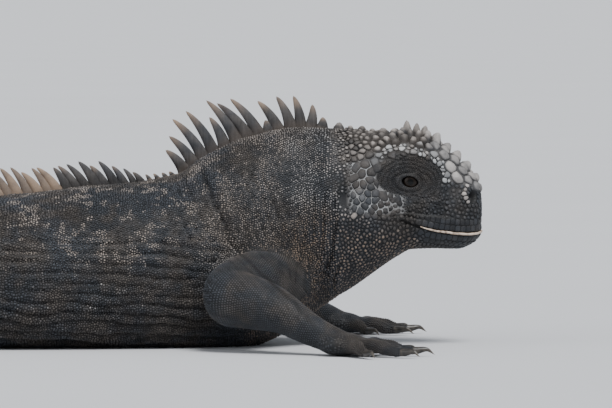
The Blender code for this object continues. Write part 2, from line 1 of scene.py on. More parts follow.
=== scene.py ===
"""Dresses the solids of a life-size marine iguana: one skin, scales, crest, lids, eyes and claws.

Lengths in the tables are millimetres and angles are degrees; the meshes are made in metres.
+X is towards the snout, +Z is up, and the origin is on the floor under the middle of the belly.
"""

import math
import random

import bpy
import numpy as np
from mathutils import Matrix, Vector
from mathutils.bvhtree import BVHTree
from mathutils.kdtree import KDTree


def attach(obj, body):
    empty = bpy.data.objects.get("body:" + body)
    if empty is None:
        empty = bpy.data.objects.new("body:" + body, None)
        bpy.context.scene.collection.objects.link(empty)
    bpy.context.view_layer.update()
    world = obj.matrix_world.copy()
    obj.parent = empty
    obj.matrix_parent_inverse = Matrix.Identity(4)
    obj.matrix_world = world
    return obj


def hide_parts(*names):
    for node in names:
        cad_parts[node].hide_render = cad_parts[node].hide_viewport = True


bl_info = {
    "name": "Marine Iguana",
    "version": (1, 0, 0),
    "blender": (4, 5, 0),
    "location": "View3D > Sidebar > Iguana",
    "description": "Skin, scales, crest, eyes and claws of a life-size marine iguana",
    "category": "Add Mesh",
}

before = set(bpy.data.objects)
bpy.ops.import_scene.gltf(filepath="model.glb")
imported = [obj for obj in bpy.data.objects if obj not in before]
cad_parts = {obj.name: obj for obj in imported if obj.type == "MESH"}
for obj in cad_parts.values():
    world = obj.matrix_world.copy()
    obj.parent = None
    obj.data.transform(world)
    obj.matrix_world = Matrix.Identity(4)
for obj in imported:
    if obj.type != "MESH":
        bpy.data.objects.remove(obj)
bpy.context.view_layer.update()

MM = 0.001
SNOUT_X = 225.6
BODY_LENGTH = 835.0
COAT_DEPTH = 0.45

# Outline of the body: distance behind the snout tip, height of the back, height of the underside
# (below 0 where the floor flattens it), half width, height of the widest point, and the power of
# the curve above and below that point: 2 is an ellipse, more is squarer, less is a ridge.
OUTLINE = (
    (0.0, 66.0, 60.0, 0.0, 63.0, 2.0, 2.0),  # snout tip
    (0.9, 75.0, 52.5, 9.5, 63.0, 2.1, 2.2),
    (3.5, 80.0, 49.2, 13.6, 63.0, 2.2, 2.4),  # nostrils
    (7.0, 84.0, 47.2, 16.0, 63.0, 2.3, 2.5),
    (12.0, 89.2, 46.0, 17.6, 63.0, 2.3, 2.6),
    (17.0, 93.4, 46.0, 18.8, 64.0, 2.3, 2.6),
    (22.0, 97.4, 46.2, 20.0, 65.0, 2.3, 2.6),  # forehead
    (33.6, 100.6, 45.8, 22.6, 66.0, 2.4, 2.5),  # eyes
    (41.0, 101.0, 42.0, 24.8, 65.0, 2.4, 2.4),  # mouth corners
    (48.5, 101.4, 37.0, 26.8, 62.0, 2.3, 2.3),
    (57.0, 102.2, 31.0, 28.0, 60.0, 2.2, 2.2),  # jowls
    (66.0, 103.2, 25.0, 27.0, 58.0, 2.0, 2.1),  # ears
    (78.0, 104.0, 17.0, 26.6, 55.0, 1.9, 2.1),
    (89.0, 104.2, 9.0, 28.4, 50.0, 1.8, 2.2),  # middle of the neck
    (98.0, 103.0, 4.0, 31.5, 46.0, 1.8, 2.3),
    (107.0, 101.0, 0.0, 35.0, 42.0, 1.8, 2.4),  # shoulders
    (117.0, 98.0, -2.0, 38.6, 39.0, 1.8, 2.4),
    (134.0, 89.6, -3.0, 44.0, 35.0, 1.8, 2.4),
    (146.0, 82.0, -3.0, 46.8, 33.0, 1.9, 2.4),
    (163.0, 78.6, -3.0, 49.6, 31.0, 2.0, 2.4),
    (184.0, 76.6, -3.0, 52.6, 30.0, 2.0, 2.4),
    (230.0, 71.4, -3.0, 55.6, 28.0, 2.1, 2.4),  # widest part of the belly
    (265.0, 68.0, -3.0, 54.5, 27.0, 2.1, 2.4),
    (300.0, 63.0, -2.6, 48.5, 26.0, 2.1, 2.4),
    (330.0, 56.5, -2.2, 39.5, 25.0, 2.1, 2.4),  # hips
    (355.0, 49.5, -2.0, 30.0, 23.0, 2.1, 2.3),  # vent
    (385.0, 43.5, -1.8, 21.0, 19.0, 2.0, 2.2),  # root of the tail
    (440.0, 39.5, -1.5, 14.5, 16.5, 1.9, 2.1),
    (520.0, 34.5, -1.2, 10.8, 14.0, 1.8, 2.1),
    (620.0, 28.0, -1.0, 7.8, 11.5, 1.8, 2.0),
    (720.0, 20.0, -0.8, 5.2, 8.5, 1.8, 2.0),
    (800.0, 11.5, -0.5, 3.2, 5.0, 1.9, 2.0),
    (835.0, 4.4, -0.3, 1.4, 2.2, 2.0, 2.0),  # tail tip
)
# Where the midline heads as it runs back: distance behind the snout tip, turn towards +Y
HEADINGS = ((0.0, 0.0), (300.0, 0.0), (440.0, 20.0), (560.0, 30.0), (700.0, 6.0), (835.0, -34.0))
# Rings of the skin: first and last distance, step and points round
HEAD_RINGS = (8.0, 76.0, 0.55, 288)
TRUNK_RINGS = (77.4, 372.0, 2.45, 144)
TAIL_RINGS = (375.5, 835.0, 4.0, 72)

EYE_CENTRE = (190.8, 14.6, 78.6)
EYE_RADIUS = 5.4
EYE_GAP = 0.15
LID_RADIUS = 6.12
EYE_OPENING = (8.0, 5.3)
EYE_TILT = -10.0
LID_WRINKLE = (0.34, 2.1)
MOUTH_LINE = ((187.6, 59.8), (193.4, 57.8), (199.5, 56.0), (208.6, 54.4), (217.8, 53.6), (226.0, 54.4))
MOUTH_PIVOT_X = 205.0
MOUTH_TURN = 118.0
NOSTRIL = (220.6, 71.6)
# Pale scales along the rear of the nostril: place along X, height and half width
NOSTRIL_RIM = ((217.2, 74.6, 0.9), (216.8, 72.7, 1.0), (217.3, 70.7, 1.0), (218.4, 68.9, 0.9))
EAR = (159.3, 70.0)
# Lower edge of the knobbed crown seen from the side: place along X and height
CROWN_EDGE = (
    (148.0, 87.0),
    (160.0, 88.0),
    (175.0, 91.0),
    (184.0, 95.0),
    (195.0, 92.8),
    (203.0, 90.0),
    (206.4, 84.0),
    (209.5, 79.5),
    (216.0, 77.5),
    (222.0, 75.5),
    (226.0, 74.0),
)
# White crusted rim over the mask of the eye: place along X and height
BROW_RIM = ((176.0, 90.5), (181.0, 93.6), (188.0, 95.0), (195.0, 92.8), (202.0, 90.0), (206.0, 86.0), (207.8, 80.0))

# Relief of one side of the head: place along X, height, reach along X, reach in height, rise
HEAD_RELIEF = (
    (191.0, 78.2, 15.0, 8.6, -2.2),  # eye basin
    (195.0, 92.0, 14.0, 3.0, 1.3),  # brow
    (211.5, 75.0, 5.5, 5.5, -1.2),  # hollow before the eye
    (220.0, 71.6, 3.6, 3.6, 1.0),  # nostril mound
    (220.8, 71.3, 1.5, 2.4, -3.8),  # nostril
    (205.0, 60.0, 16.0, 2.6, 0.7),  # upper lip
    (204.0, 50.6, 16.0, 2.6, 0.6),  # lower lip
    (171.0, 62.0, 9.0, 11.0, 1.6),  # jowl
    (159.3, 70.0, 3.4, 5.4, -1.6),  # ear drum
    (165.2, 70.0, 1.5, 6.0, 0.8),  # rim before the ear drum
)
# Fold that runs down from the shoulder: height and place along X
SHOULDER_FOLD = ((14.0, 146.0), (21.5, 138.5), (50.0, 106.0), (82.0, 93.0), (95.0, 91.0))

# Spines of the nape, front to rear: distance behind the snout tip, length, lean backwards
NAPE_SPINES = (
    (76.5, 5.5, -3.0),
    (82.0, 11.5, -5.0),
    (86.7, 16.0, 12.0),
    (91.3, 17.0, 24.0),
    (97.2, 17.5, 35.0),
    (102.2, 6.0, 14.0),
    (106.6, 22.3, 38.0),
    (111.6, 22.5, 42.0),
    (117.2, 24.7, 36.0),
    (123.0, 16.0, 27.0),
    (128.4, 24.0, 33.0),
    (133.2, 24.0, 38.0),
    (137.8, 18.0, 41.0),
    (142.2, 13.5, 42.0),
)
NAPE_BASE = (6.2, 2.6)
# Spines of the back and tail: distance behind the snout tip, length, spacing
BACK_SPINES = (
    (148.0, 2.4, 3.6),
    (158.0, 3.6, 3.8),
    (163.0, 7.0, 4.0),
    (170.0, 10.5, 4.3),
    (178.0, 13.0, 4.5),
    (187.0, 14.5, 4.6),
    (330.0, 13.0, 4.8),
    (420.0, 9.0, 5.6),
    (520.0, 7.5, 6.2),
    (705.0, 5.0, 6.0),
    (828.0, 2.6, 5.0),
)
BACK_LEAN = 37.0
BACK_BASE = (5.2, 2.3)
BASE_LEAST = 0.4
SPINE_CURL = 14.0
SPINE_ROOT = 2.6

# Height of the knobs of the crown: distance behind the snout tip, height
KNOB_HEIGHTS = ((1.0, 1.5), (4.0, 1.9), (14.0, 2.2), (20.0, 2.7), (26.0, 3.6), (36.0, 3.4), (43.0, 2.8), (70.0, 2.4))
# Knobs of the profile: distance behind the snout tip, place to the right of the middle, radius, height
PROFILE_KNOBS = (
    (35.6, -1.6, 1.8, 7.0),
    (31.6, 1.0, 1.7, 6.2),
    (27.9, -1.2, 1.7, 5.8),
    (22.2, 0.0, 2.6, 4.6),
    (17.6, -0.6, 2.5, 3.7),
    (12.9, 0.4, 2.7, 3.9),
    (8.2, -0.3, 2.6, 3.6),
    (3.6, 0.2, 2.4, 2.9),
    (42.0, 0.6, 1.9, 3.0),
    (47.0, -0.8, 2.0, 3.2),
    (52.4, 0.5, 1.8, 2.6),
    (57.5, -0.5, 1.9, 3.4),
    (63.0, 0.4, 1.7, 2.6),
    (68.0, -0.4, 1.9, 3.6),
)

# Joints of a limb from its root inside the body to the middle of its palm, each with a radius; the
# right limbs, on the -Y side
FORE_LIMB = (
    ((135.0, -12.0, 32.0), 14.5),
    ((121.0, -39.0, 33.5), 13.0),
    ((107.0, -60.0, 26.5), 14.6),
    ((126.0, -76.0, 21.0), 12.6),
    ((146.0, -86.0, 11.0), 8.4),
    ((158.0, -91.0, 5.6), 6.2),
)
HIND_LIMB = (
    ((-101.0, -14.0, 30.0), 19.0),
    ((-86.0, -46.0, 33.0), 17.0),
    ((-68.0, -72.0, 32.0), 13.0),
    ((-88.0, -86.0, 21.0), 10.2),
    ((-108.0, -93.0, 10.5), 7.6),
    ((-99.0, -103.0, 5.5), 6.0),
)
# Palm: radii and heading; then each toe's turn from that heading, length past the palm and stoutness
FORE_PALM = ((12.0, 10.5, 5.8), -12.0)
FORE_TOES = ((66.0, 12.0, 0.95), (34.0, 18.0, 1.0), (6.0, 22.0, 1.0), (-22.0, 22.0, 1.0), (-54.0, 16.0, 0.95))
HIND_PALM = ((14.0, 11.5, 6.0), -34.0)
HIND_TOES = ((54.0, 14.0, 0.95), (31.0, 21.0, 1.0), (10.0, 29.0, 1.05), (-12.0, 36.0, 1.05), (-54.0, 19.0, 1.0))
# Toe and claw from root to tip: share of the length, height, radius; a claw's heights are above its toe
TOE_ARCH = ((0.0, 4.6, 4.0), (0.55, 4.9, 3.5), (0.9, 2.6, 2.5), (1.0, 2.5, 2.3))
CLAW_ARCH = ((0.0, 0.0, 2.0), (0.12, 0.0, 1.95), (0.6, 0.7, 1.15), (1.0, -1.7, 0.0))
CLAW_LENGTH = 10.5
CLAW_SUNK = 1.1

# Distance behind the snout tip where the scattered scales of the head meet the rows of the body
COAT_START = 70.0
# Spacing of the scales of the body: distance behind the snout tip, spacing
SCALE_SPACING = (
    (70.0, 1.2),
    (100.0, 1.12),
    (150.0, 1.2),
    (220.0, 1.4),
    (330.0, 1.65),
    (400.0, 2.1),
    (600.0, 2.2),
    (760.0, 1.8),
    (835.0, 1.2),
)
CREST_NODES = ("neck", "torso", "tail_base", "tail_front", "tail_rear", "tail_tip")
FLESH_NODES = ("head", *CREST_NODES)
LIMB_NODES = ("upper_arm", "forearm", "hand", "thigh", "shin", "foot")


def smooth_curve(xs, ys, x):
    """Reads at x the cubic that runs through the points without overshoot."""
    xs, ys, x = (np.asarray(values, float) for values in (xs, ys, x))
    step = np.diff(xs)
    rise = np.diff(ys) / step
    slope = np.zeros_like(ys)
    slope[0], slope[-1] = rise[0], rise[-1]
    same_way = rise[:-1] * rise[1:] > 0
    near, far = 2 * step[1:] + step[:-1], step[1:] + 2 * step[:-1]
    safe = [np.where(same_way, side, 1.0) for side in (rise[:-1], rise[1:])]
    slope[1:-1] = np.where(same_way, (near + far) / (near / safe[0] + far / safe[1]), 0.0)
    i = np.clip(np.searchsorted(xs, x) - 1, 0, len(xs) - 2)
    t = np.clip((x - xs[i]) / step[i], 0.0, 1.0)
    start = (1 + 2 * t) * (1 - t) ** 2 * ys[i] + t * (1 - t) ** 2 * step[i] * slope[i]
    end = t * t * (3 - 2 * t) * ys[i + 1] + t * t * (t - 1) * step[i] * slope[i + 1]
    return start + end


def read(table, x, column=1):
    """Reads one column of a table of rows at x."""
    rows = np.array(table, float)
    return smooth_curve(rows[:, 0], rows[:, column], x)


def outline_at(distance):
    """Back, underside, half width, widest height and the two powers at a distance from the snout."""
    table = np.array(OUTLINE)
    return [smooth_curve(np.sqrt(table[:, 0]), table[:, k], np.sqrt(distance)) for k in range(1, 7)]


def midline_at(distance):
    """X, Y and heading in radians of the midline at a distance from the snout."""
    fine = np.linspace(0.0, BODY_LENGTH, 1671)
    heading = np.radians(read(HEADINGS, fine))
    step = fine[1] - fine[0]
    x = SNOUT_X - np.concatenate(([0.0], np.cumsum(np.cos(heading[1:]) * step)))
    y = np.concatenate(([0.0], np.cumsum(np.sin(heading[1:]) * step)))
    return [np.interp(distance, fine, values) for values in (x, y, heading)]


def bent(value, power):
    """A sine or cosine bent so that its circle becomes a curve of that power."""
    return np.sign(value) * np.abs(value) ** (2.0 / power)


def unit(vectors):
    """The vectors, each made one long."""
    return vectors / np.maximum(np.linalg.norm(vectors, axis=-1, keepdims=True), 1e-9)


def window(value, low, high, soft):
    """1 between two limits, falling smoothly to 0 over the soft width outside them."""
    rise = np.clip((value - low) / soft + 1.0, 0.0, 1.0)
    fall = np.clip((high - value) / soft + 1.0, 0.0, 1.0)
    share = np.minimum(rise, fall)
    return share * share * (3.0 - 2.0 * share)


def mottle(points, size, seed=0):
    """Smooth random values from -1 to 1 over space, with lumps of that size."""
    grid = np.asarray(points, float) / size + seed * 17.31
    cell = np.floor(grid)
    part = grid - cell
    part = part * part * (3.0 - 2.0 * part)
    total = 0.0
    for corner in range(8):
        offset = np.array([corner & 1, corner >> 1 & 1, corner >> 2 & 1], float)
        spot = (cell + offset) @ np.array([127.1, 311.7, 74.7])
        value = np.sin(spot) * 43758.5453
        weight = np.prod(np.where(offset > 0, part, 1.0 - part), axis=-1)
        total = total + (value - np.floor(value)) * weight
    return 2.0 * total - 1.0


def mouth_height(x):
    """Height of the line of the mouth at a place along X."""
    return read(MOUTH_LINE, x)


def eye_reach(x, z):
    """1 on the edge of the opening between the lids, and growing away from it."""
    tilt = math.radians(EYE_TILT)
    dx, dz = x - EYE_CENTRE[0], z - EYE_CENTRE[2]
    along = dx * math.cos(tilt) + dz * math.sin(tilt)
    across = dz * math.cos(tilt) - dx * math.sin(tilt)
    return np.hypot(along / (EYE_OPENING[0] / 2), across / (EYE_OPENING[1] / 2))


def lid_relief(points):
    """Rims, creases and wrinkles of the lids, in rings round the opening of the eye."""
    x, _, z = np.moveaxis(points, -1, 0)
    out = (eye_reach(x, z) - 1.0) * 2.9
    rim = 0.4 * np.exp(-(((out - 1.0) / 0.6) ** 2)) - 0.5 * np.exp(-(((out - 2.2) / 0.4) ** 2))
    warped = out + 1.1 * mottle(points, 5.0, 9) + 0.5 * mottle(points, 2.2, 10)
    waves = 2.0 * np.abs(np.sin(math.pi * (warped - 2.2) / LID_WRINKLE[1])) ** 0.8 - 1.2
    return rim + LID_WRINKLE[0] * waves * (1.0 + 0.6 * mottle(points, 3.0, 8)) * window(out, 2.9, 12.0, 0.8)


def head_relief(points):
    """How far the skin of the head rises or sinks at each point."""
    x, y, z = np.moveaxis(points, -1, 0)
    beside = np.clip((np.abs(y) - 5.0) / 5.0, 0.0, 1.0)
    rise = np.zeros(x.shape)
    for at_x, at_z, reach_x, reach_z, height in HEAD_RELIEF:
        away = ((x - at_x) / reach_x) ** 2 + ((z - at_z) / reach_z) ** 2
        rise += height * np.exp(-(away**1.3))
    rise *= beside
    off = z - mouth_height(x)
    at_mouth = window(x, MOUTH_LINE[0][0], 240.0, 2.5)
    rise += at_mouth * (0.35 * np.exp(-(((np.abs(off) - 1.5) / 0.9) ** 2)) - 0.9 * np.exp(-((off / 0.5) ** 2)))
    near_eye = np.clip((np.abs(y) - 8.0) / 4.0, 0.0, 1.0) * window(x, 176.0, 206.0, 3.0) * window(z, 60.0, 90.0, 3.0)
    rise += near_eye * lid_relief(points)
    under_eye = window(x, 180.0, 206.0, 6.0) * window(z, 62.0, 69.0, 3.0) * beside
    rise += under_eye * 0.42 * np.sin(2 * math.pi * (z + 0.12 * (x - 190.0) + mottle(points, 7.0) * 0.8) / 2.6)
    return rise


def folded(phase):
    """Round ridges with sharp valleys between them, from -1 to 1."""
    return 2.0 * np.abs(np.sin(math.pi * phase)) ** 0.75 - 1.0


def trunk_relief(points, distance):
    """How far the folds and wrinkles of the neck, shoulder and flank rise or sink."""
    x, y, z = np.moveaxis(points, -1, 0)
    rise = 0.35 * mottle(points, 9.0, 3) + 0.3 * mottle(points, 22.0, 4)
    rise *= window(distance, 60.0, 420.0, 30.0)
    beside = np.clip(np.abs(y) / 14.0 - 0.6, 0.0, 1.0)
    neck = window(distance, 71.0, 90.0, 6.0) * window(z, 26.0, 68.0, 12.0) * beside
    rise += neck * 1.1 * folded((distance + 0.14 * (z - 45.0) + 2.8 * mottle(points, 13.0, 5)) / 4.8)
    across = x - np.interp(z, *zip(*SHOULDER_FOLD)) + 1.2 * mottle(points, 12.0, 6)
    fold = -1.3 * np.exp(-((across / 2.0) ** 2)) + 0.9 * np.exp(-(((across - 5.0) / 3.0) ** 2))
    fold += -0.9 * np.exp(-(((across - 11.0) / 1.8) ** 2)) + 0.75 * folded(across / 4.6) * window(across, -20.0, 30.0, 8.0)
    rise += fold * window(z, 20.0, 80.0, 10.0) * beside * window(x, 80.0, 150.0, 10.0)
    wander = 2.4 * mottle(points / np.array([2.0, 1.0, 1.0]), 8.0, 7) + 0.6 * mottle(points, 4.0, 2)
    flank = window(x, -95.0, 94.0, 22.0) * window(z, 7.0, 50.0, 8.0) * (1.0 + 0.4 * mottle(points, 10.0, 1))
    return rise + 1.05 * folded((z + 0.05 * x + wander) / 4.8) * flank


def body_surface(distances, angles, depth=COAT_DEPTH):
    """Points of the skin on a grid of distances and of angles from the middle of the back."""
    distances = np.asarray(distances, float)
    back, under, half, widest, above, below = (v[:, None] for v in outline_at(distances))
    x, y, heading = (v[:, None] for v in midline_at(distances))
    sine, cosine = np.sin(angles)[None, :], np.cos(angles)[None, :]
    upper = cosine >= 0
    power = np.where(upper, above, below)
    across = half * bent(sine, power)
    z = widest + np.where(upper, back - widest, widest - under) * bent(cosine, power)
    grid = np.stack([x + across * np.sin(heading), y + across * np.cos(heading), z], axis=-1)
    along = np.gradient(grid, axis=0)
    round_ring = np.roll(grid, -1, axis=1) - np.roll(grid, 1, axis=1)
    outward = unit(np.cross(round_ring, along))
    rise = head_relief(grid) * (distances < 80.0)[:, None] + trunk_relief(grid, distances[:, None]) - depth
    grid = grid + outward * rise[..., None]
    return lidded(grid)


def lidded(grid):
    """Domes the skin over the eyeballs, for the lids."""
    x, y, z = np.moveaxis(grid, -1, 0)
    away = (x - EYE_CENTRE[0]) ** 2 + (z - EYE_CENTRE[2]) ** 2
    dome = EYE_CENTRE[1] + np.sqrt(np.maximum(LID_RADIUS**2 - away, 0.0))
    dome = dome + lid_relief(grid)
    soft = 0.5
    blend = np.clip(0.5 + (dome - np.abs(y)) / (4 * soft), 0.0, 1.0)
    lifted = np.abs(y) * (1 - blend) + dome * blend + soft * blend * (1 - blend)
    near = (away < LID_RADIUS**2) & (np.abs(y) > 4.0)
    y = np.where(near, np.sign(y) * np.maximum(lifted, np.abs(y)), y)
    return np.stack([x, y, z], axis=-1)


def mesh_object(name, points, triangles, material, values=None, patches=None):
    """A smooth object from arrays of points in millimetres and of triangles."""
    points = np.concatenate([points[:, :2], np.maximum(points[:, 2:], 0.02)], axis=1)
    mesh = bpy.data.meshes.new(name)
    mesh.vertices.add(len(points))
    mesh.vertices.foreach_set("co", (np.asarray(points, float) * MM).ravel())
    mesh.loops.add(len(triangles) * 3)
    mesh.loops.foreach_set("vertex_index", np.asarray(triangles, np.int32).ravel())
    mesh.polygons.add(len(triangles))
    mesh.polygons.foreach_set("loop_start", np.arange(len(triangles), dtype=np.int32) * 3)
    mesh.update(calc_edges=True)
    mesh.shade_smooth()
    for key, numbers in (values or {}).items():
        mesh.attributes.new(key, "FLOAT", "POINT").data.foreach_set("value", np.asarray(numbers, float).ravel())
    if patches is not None:
        spread = np.asarray(patches, float)[np.asarray(triangles).ravel()]
        mesh.uv_layers.new(name="OFBake").data.foreach_set("uv", spread.ravel())
    mesh.materials.append(material)
    obj = bpy.data.objects.new(name, mesh)
    bpy.context.scene.collection.objects.link(obj)
    return obj


def outwards(points, triangles):
    """The triangles of a closed surface, turned so that they face outwards."""
    a, b, c = (points[triangles[:, k]] for k in range(3))
    volume = np.einsum("ij,ij->", a, np.cross(b, c))
    return triangles if volume > 0 else triangles[:, ::-1]


def shell(rings):
    """Points and outward triangles over rings; each has as many points as the last, half, or one."""
    points, triangles, start, before = [], [], 0, None
    for ring in rings:
        ring = np.atleast_2d(ring)
        size = len(ring)
        if before is not None:
            a, b, n = start - len(before), start, len(before)
            j = np.arange(max(n, size))
            k = (j + 1) % max(n, size)
            if n == size:
                triangles += [np.stack([a + j, a + k, b + k], -1), np.stack([a + j, b + k, b + j], -1)]
            elif n == 1:
                triangles.append(np.stack([a + 0 * j, b + k, b + j], -1))
            elif size == 1:
                triangles.append(np.stack([a + j, a + k, b + 0 * j], -1))
            else:
                half = np.arange(size)
                later = (half + 1) % size
                first, middle, last = a + 2 * half, a + 2 * half + 1, a + (2 * half + 2) % n
                triangles += [
                    np.stack([first, middle, b + half], -1),
                    np.stack([middle, b + later, b + half], -1),
                    np.stack([middle, last, b + later], -1),
                ]
        points.append(ring)
        start += size
        before = ring
    points = np.concatenate(points)
    return points, outwards(points, np.concatenate(triangles))


def capped(grid):
    """The rings of a tube with a point in the middle of each end."""
    return [grid[0].mean(axis=0), *grid, grid[-1].mean(axis=0)]


def turn(count):
    """Angles round a ring."""
    return np.linspace(0.0, 2 * math.pi, count, endpoint=False)


def line_through(places, count):
    """Evenly spread points on a smooth line through places, and their share of the way."""
    places = np.array(places, float)
    spots = np.concatenate(([0.0], np.cumsum(np.linalg.norm(np.diff(places, axis=0), axis=1))))
    fine = np.linspace(0.0, spots[-1], count)
    return np.stack([smooth_curve(spots, places[:, k], fine) for k in range(3)], -1), fine / spots[-1]


def tube_surface(line, radii, angles, wide=1.0):
    """Rings round a line; angle 0 is its upper side."""
    ahead = unit(np.gradient(line, axis=0))
    side = unit(np.cross(ahead, [0.0, 0.0, 1.0]))
    up = np.cross(side, ahead)
    radii = np.asarray(radii)[:, None, None]
    across = side[:, None, :] * np.sin(angles)[None, :, None] * wide
    return line[:, None, :] + radii * (up[:, None, :] * np.cos(angles)[None, :, None] + across)


def limb_line(joints, side, count):
    """Middle line and radii of a leg; side is 1 for the left ones."""
    places = [(x, -side * y, z) for (x, y, z), _ in joints]
    line, share = line_through(places, count)
    radii = smooth_curve(np.linspace(0.0, 1.0, len(joints)), [radius for _, radius in joints], share)
    return line, radii


def toe_lines(joints, palm, toes, side, count):
    """Middle line, radii, stoutness and direction of each toe of one foot."""
    x, y, _ = joints[-1][0]
    for spread, length, stout in toes:
        angle = math.radians(palm[1] + spread)
        ahead = np.array([math.cos(angle), side * -math.sin(angle), 0.0])
        first, last = palm[0][1] * 0.25, length + palm[0][0]
        share = np.linspace(0.0, 1.0, count)
        height, radii = (read(TOE_ARCH, share, k) for k in (1, 2))
        line = np.array([x, -side * y, 0.0]) + ahead * (first + (last - first) * share)[:, None]
        line[:, 2] = height
        knuckles = 1.0 + 0.07 * np.cos(share * (last - first) / 7.0 * 2 * math.pi) * window(share, 0.3, 1.0, 0.1)
        yield line, radii * stout * knuckles, stout, ahead


def select_only(obj):
    """Selects one object and makes it the active one."""
    bpy.ops.object.select_all(action="DESELECT")
    obj.select_set(True)
    bpy.context.view_layer.objects.active = obj


def apply(obj, kind, **settings):
    """Adds a modifier with its settings and applies it."""
    modifier = obj.modifiers.new(kind.title(), kind)
    for key, value in settings.items():
        setattr(modifier, key, value)
    select_only(obj)
    bpy.ops.object.modifier_apply(modifier=modifier.name)


def boolean(obj, operation, others, solver):
    """Joins other closed objects to one, or cuts them from it, and removes them."""
    group = bpy.data.collections.new("others")
    bpy.context.scene.collection.children.link(group)
    for other in others:
        bpy.context.scene.collection.objects.unlink(other)
        group.objects.link(other)
    apply(obj, "BOOLEAN", operation=operation, operand_type="COLLECTION", collection=group, solver=solver)
    for other in others:
        bpy.data.objects.remove(other)
    bpy.data.collections.remove(group)


def make_leg(joints, palm, toes, side, voxel, material):
    """One whole leg with its foot, grown together and smoothed."""
    line, radii = limb_line(joints, side, 70)
    grid = tube_surface(line, radii - COAT_DEPTH, turn(48))
    grid += unit(grid - line[:, None, :]) * (0.5 * mottle(grid, 10.0, 8))[..., None]
    parts = [shell(capped(grid))]
    for toe, thick, _, _ in toe_lines(joints, palm, toes, side, 30):
        parts.append(shell(capped(tube_surface(toe, thick - COAT_DEPTH * 0.5, turn(20)))))
    rise = np.linspace(0.0, math.pi, 14)
    ring = turn(28)
    ball = np.stack(
        [
            np.sin(rise)[:, None] * np.cos(ring) * (palm[0][0] - COAT_DEPTH),
            np.sin(rise)[:, None] * np.sin(ring) * (palm[0][0] - COAT_DEPTH),
            np.cos(rise)[:, None] * (palm[0][2] - COAT_DEPTH) + 0 * ring,
        ],
        -1,
    )
    parts.append(shell(capped(ball[1:-1] + line[-1])))
    points, triangles, count = [], [], 0
    for more, faces in parts:
        points.append(more)
        triangles.append(faces + count)
        count += len(more)
    leg = mesh_object("leg", np.concatenate(points), np.concatenate(triangles), material)
    apply(leg, "REMESH", mode="VOXEL", voxel_size=voxel * MM, adaptivity=0.0)
    apply(leg, "SMOOTH", factor=0.5, iterations=3)
    apply(leg, "TRIANGULATE")
    return leg


def skin_rings():
    """The rings of the body's skin, from the tip of the snout to the tip of the tail."""
    near = np.linspace(0.0, math.sqrt(HEAD_RINGS[0]), 30)[1:-1] ** 2
    head = np.concatenate([near, np.arange(*HEAD_RINGS[:3])])
    rings = [np.array([[SNOUT_X - COAT_DEPTH, 0.0, 63.0]]), *body_surface(head, turn(HEAD_RINGS[3]))]
    rings += list(body_surface(np.arange(*TRUNK_RINGS[:3]), turn(TRUNK_RINGS[3])))
    rings += list(body_surface(np.arange(*TAIL_RINGS[:3]), turn(TAIL_RINGS[3])))
    return [*rings, rings[-1].mean(axis=0)]


def lid_cutter(side, material):
    """The almond that the lids leave open, as a cutter that runs out from the eye."""
    ring = turn(40)
    long, high = EYE_OPENING[0] / 2, EYE_OPENING[1] / 2
    tilt = math.radians(EYE_TILT)
    x, z = long * np.cos(ring), high * np.sin(ring) * np.abs(np.sin(ring)) ** 0.25
    across = EYE_CENTRE[0] + x * math.cos(tilt) - z * math.sin(tilt)
    up = EYE_CENTRE[2] + x * math.sin(tilt) + z * math.cos(tilt)
    rings = [np.stack([across, np.full_like(x, side * y), up], -1) for y in (EYE_CENTRE[1], 30.0)]
    return mesh_object("opening", *shell([rings[0].mean(axis=0), *rings, rings[1].mean(axis=0)]), material)


def eye_ball(name, side, radius, material, segments=48, rings=32):
    """A ball at one eye, its pole turned outwards."""
    rise = np.linspace(0.0, math.pi, rings + 1)[:, None]
    ring = turn(segments)[None, :]
    ball = np.stack([np.sin(rise) * np.cos(ring), side * np.cos(rise) + 0 * ring, np.sin(rise) * np.sin(ring)], -1)
    ball = ball * radius + np.array([EYE_CENTRE[0], side * EYE_CENTRE[1], EYE_CENTRE[2]])
    return mesh_object(name, *shell([ball[0, :1], *ball[1:-1], ball[-1, :1]]), material)


def soften_joins(skin, body_tree, leg_trees, reach=6.0, rounds=24):
    """Smooths the skin where the legs grow out of the body."""
    mesh = skin.data
    points = np.empty(len(mesh.vertices) * 3)
    mesh.vertices.foreach_get("co", points)
    points = points.reshape(-1, 3)
    weight = np.zeros(len(points))
    for k, point in enumerate(points):
        if abs(point[1]) < 0.012 or point[0] > 0.16 or point[0] < -0.14:
            continue
        for tree in leg_trees:
            _, _, _, far = tree.find_nearest(point, reach * MM)
            if far is not None:
                _, _, _, other = body_tree.find_nearest(point, reach * MM)
                if other is not None:
                    weight[k] = 1.0 - max(far, other) / (reach * MM)
                break
    edges = np.empty(len(mesh.edges) * 2, np.int32)
    mesh.edges.foreach_get("vertices", edges)
    edges = edges.reshape(-1, 2)
    edges = edges[(weight[edges] > 0).any(axis=1)]
    count = np.bincount(edges.ravel(), minlength=len(points))[:, None]
    for _ in range(rounds):
        total = np.zeros_like(points)
        for k in range(3):
            total[:, k] = np.bincount(edges[:, 0], points[edges[:, 1], k], len(points))
            total[:, k] += np.bincount(edges[:, 1], points[edges[:, 0], k], len(points))
        moved = np.where(count > 0, total / np.maximum(count, 1), points)
        points += (moved - points) * np.minimum(weight, 0.6)[:, None]
    mesh.vertices.foreach_set("co", points.ravel())
    mesh.update()


def tree_of(obj):
    """A tree that finds the nearest place on an object's surface, in metres."""
    return BVHTree.FromObject(obj, bpy.context.evaluated_depsgraph_get())


def set_on(tree, points, reach=1.6):
    """Moves points onto the skin: places, outward directions and which of them reach it."""
    places, normals, found = np.array(points, float), np.zeros((len(points), 3)), np.zeros(len(points), bool)
    for k, point in enumerate(places * MM):
        place, normal, _, _ = tree.find_nearest(point, reach * MM)
        if place is not None:
            places[k], normals[k], found[k] = place / MM, normal, True
    return places[found], normals[found], found


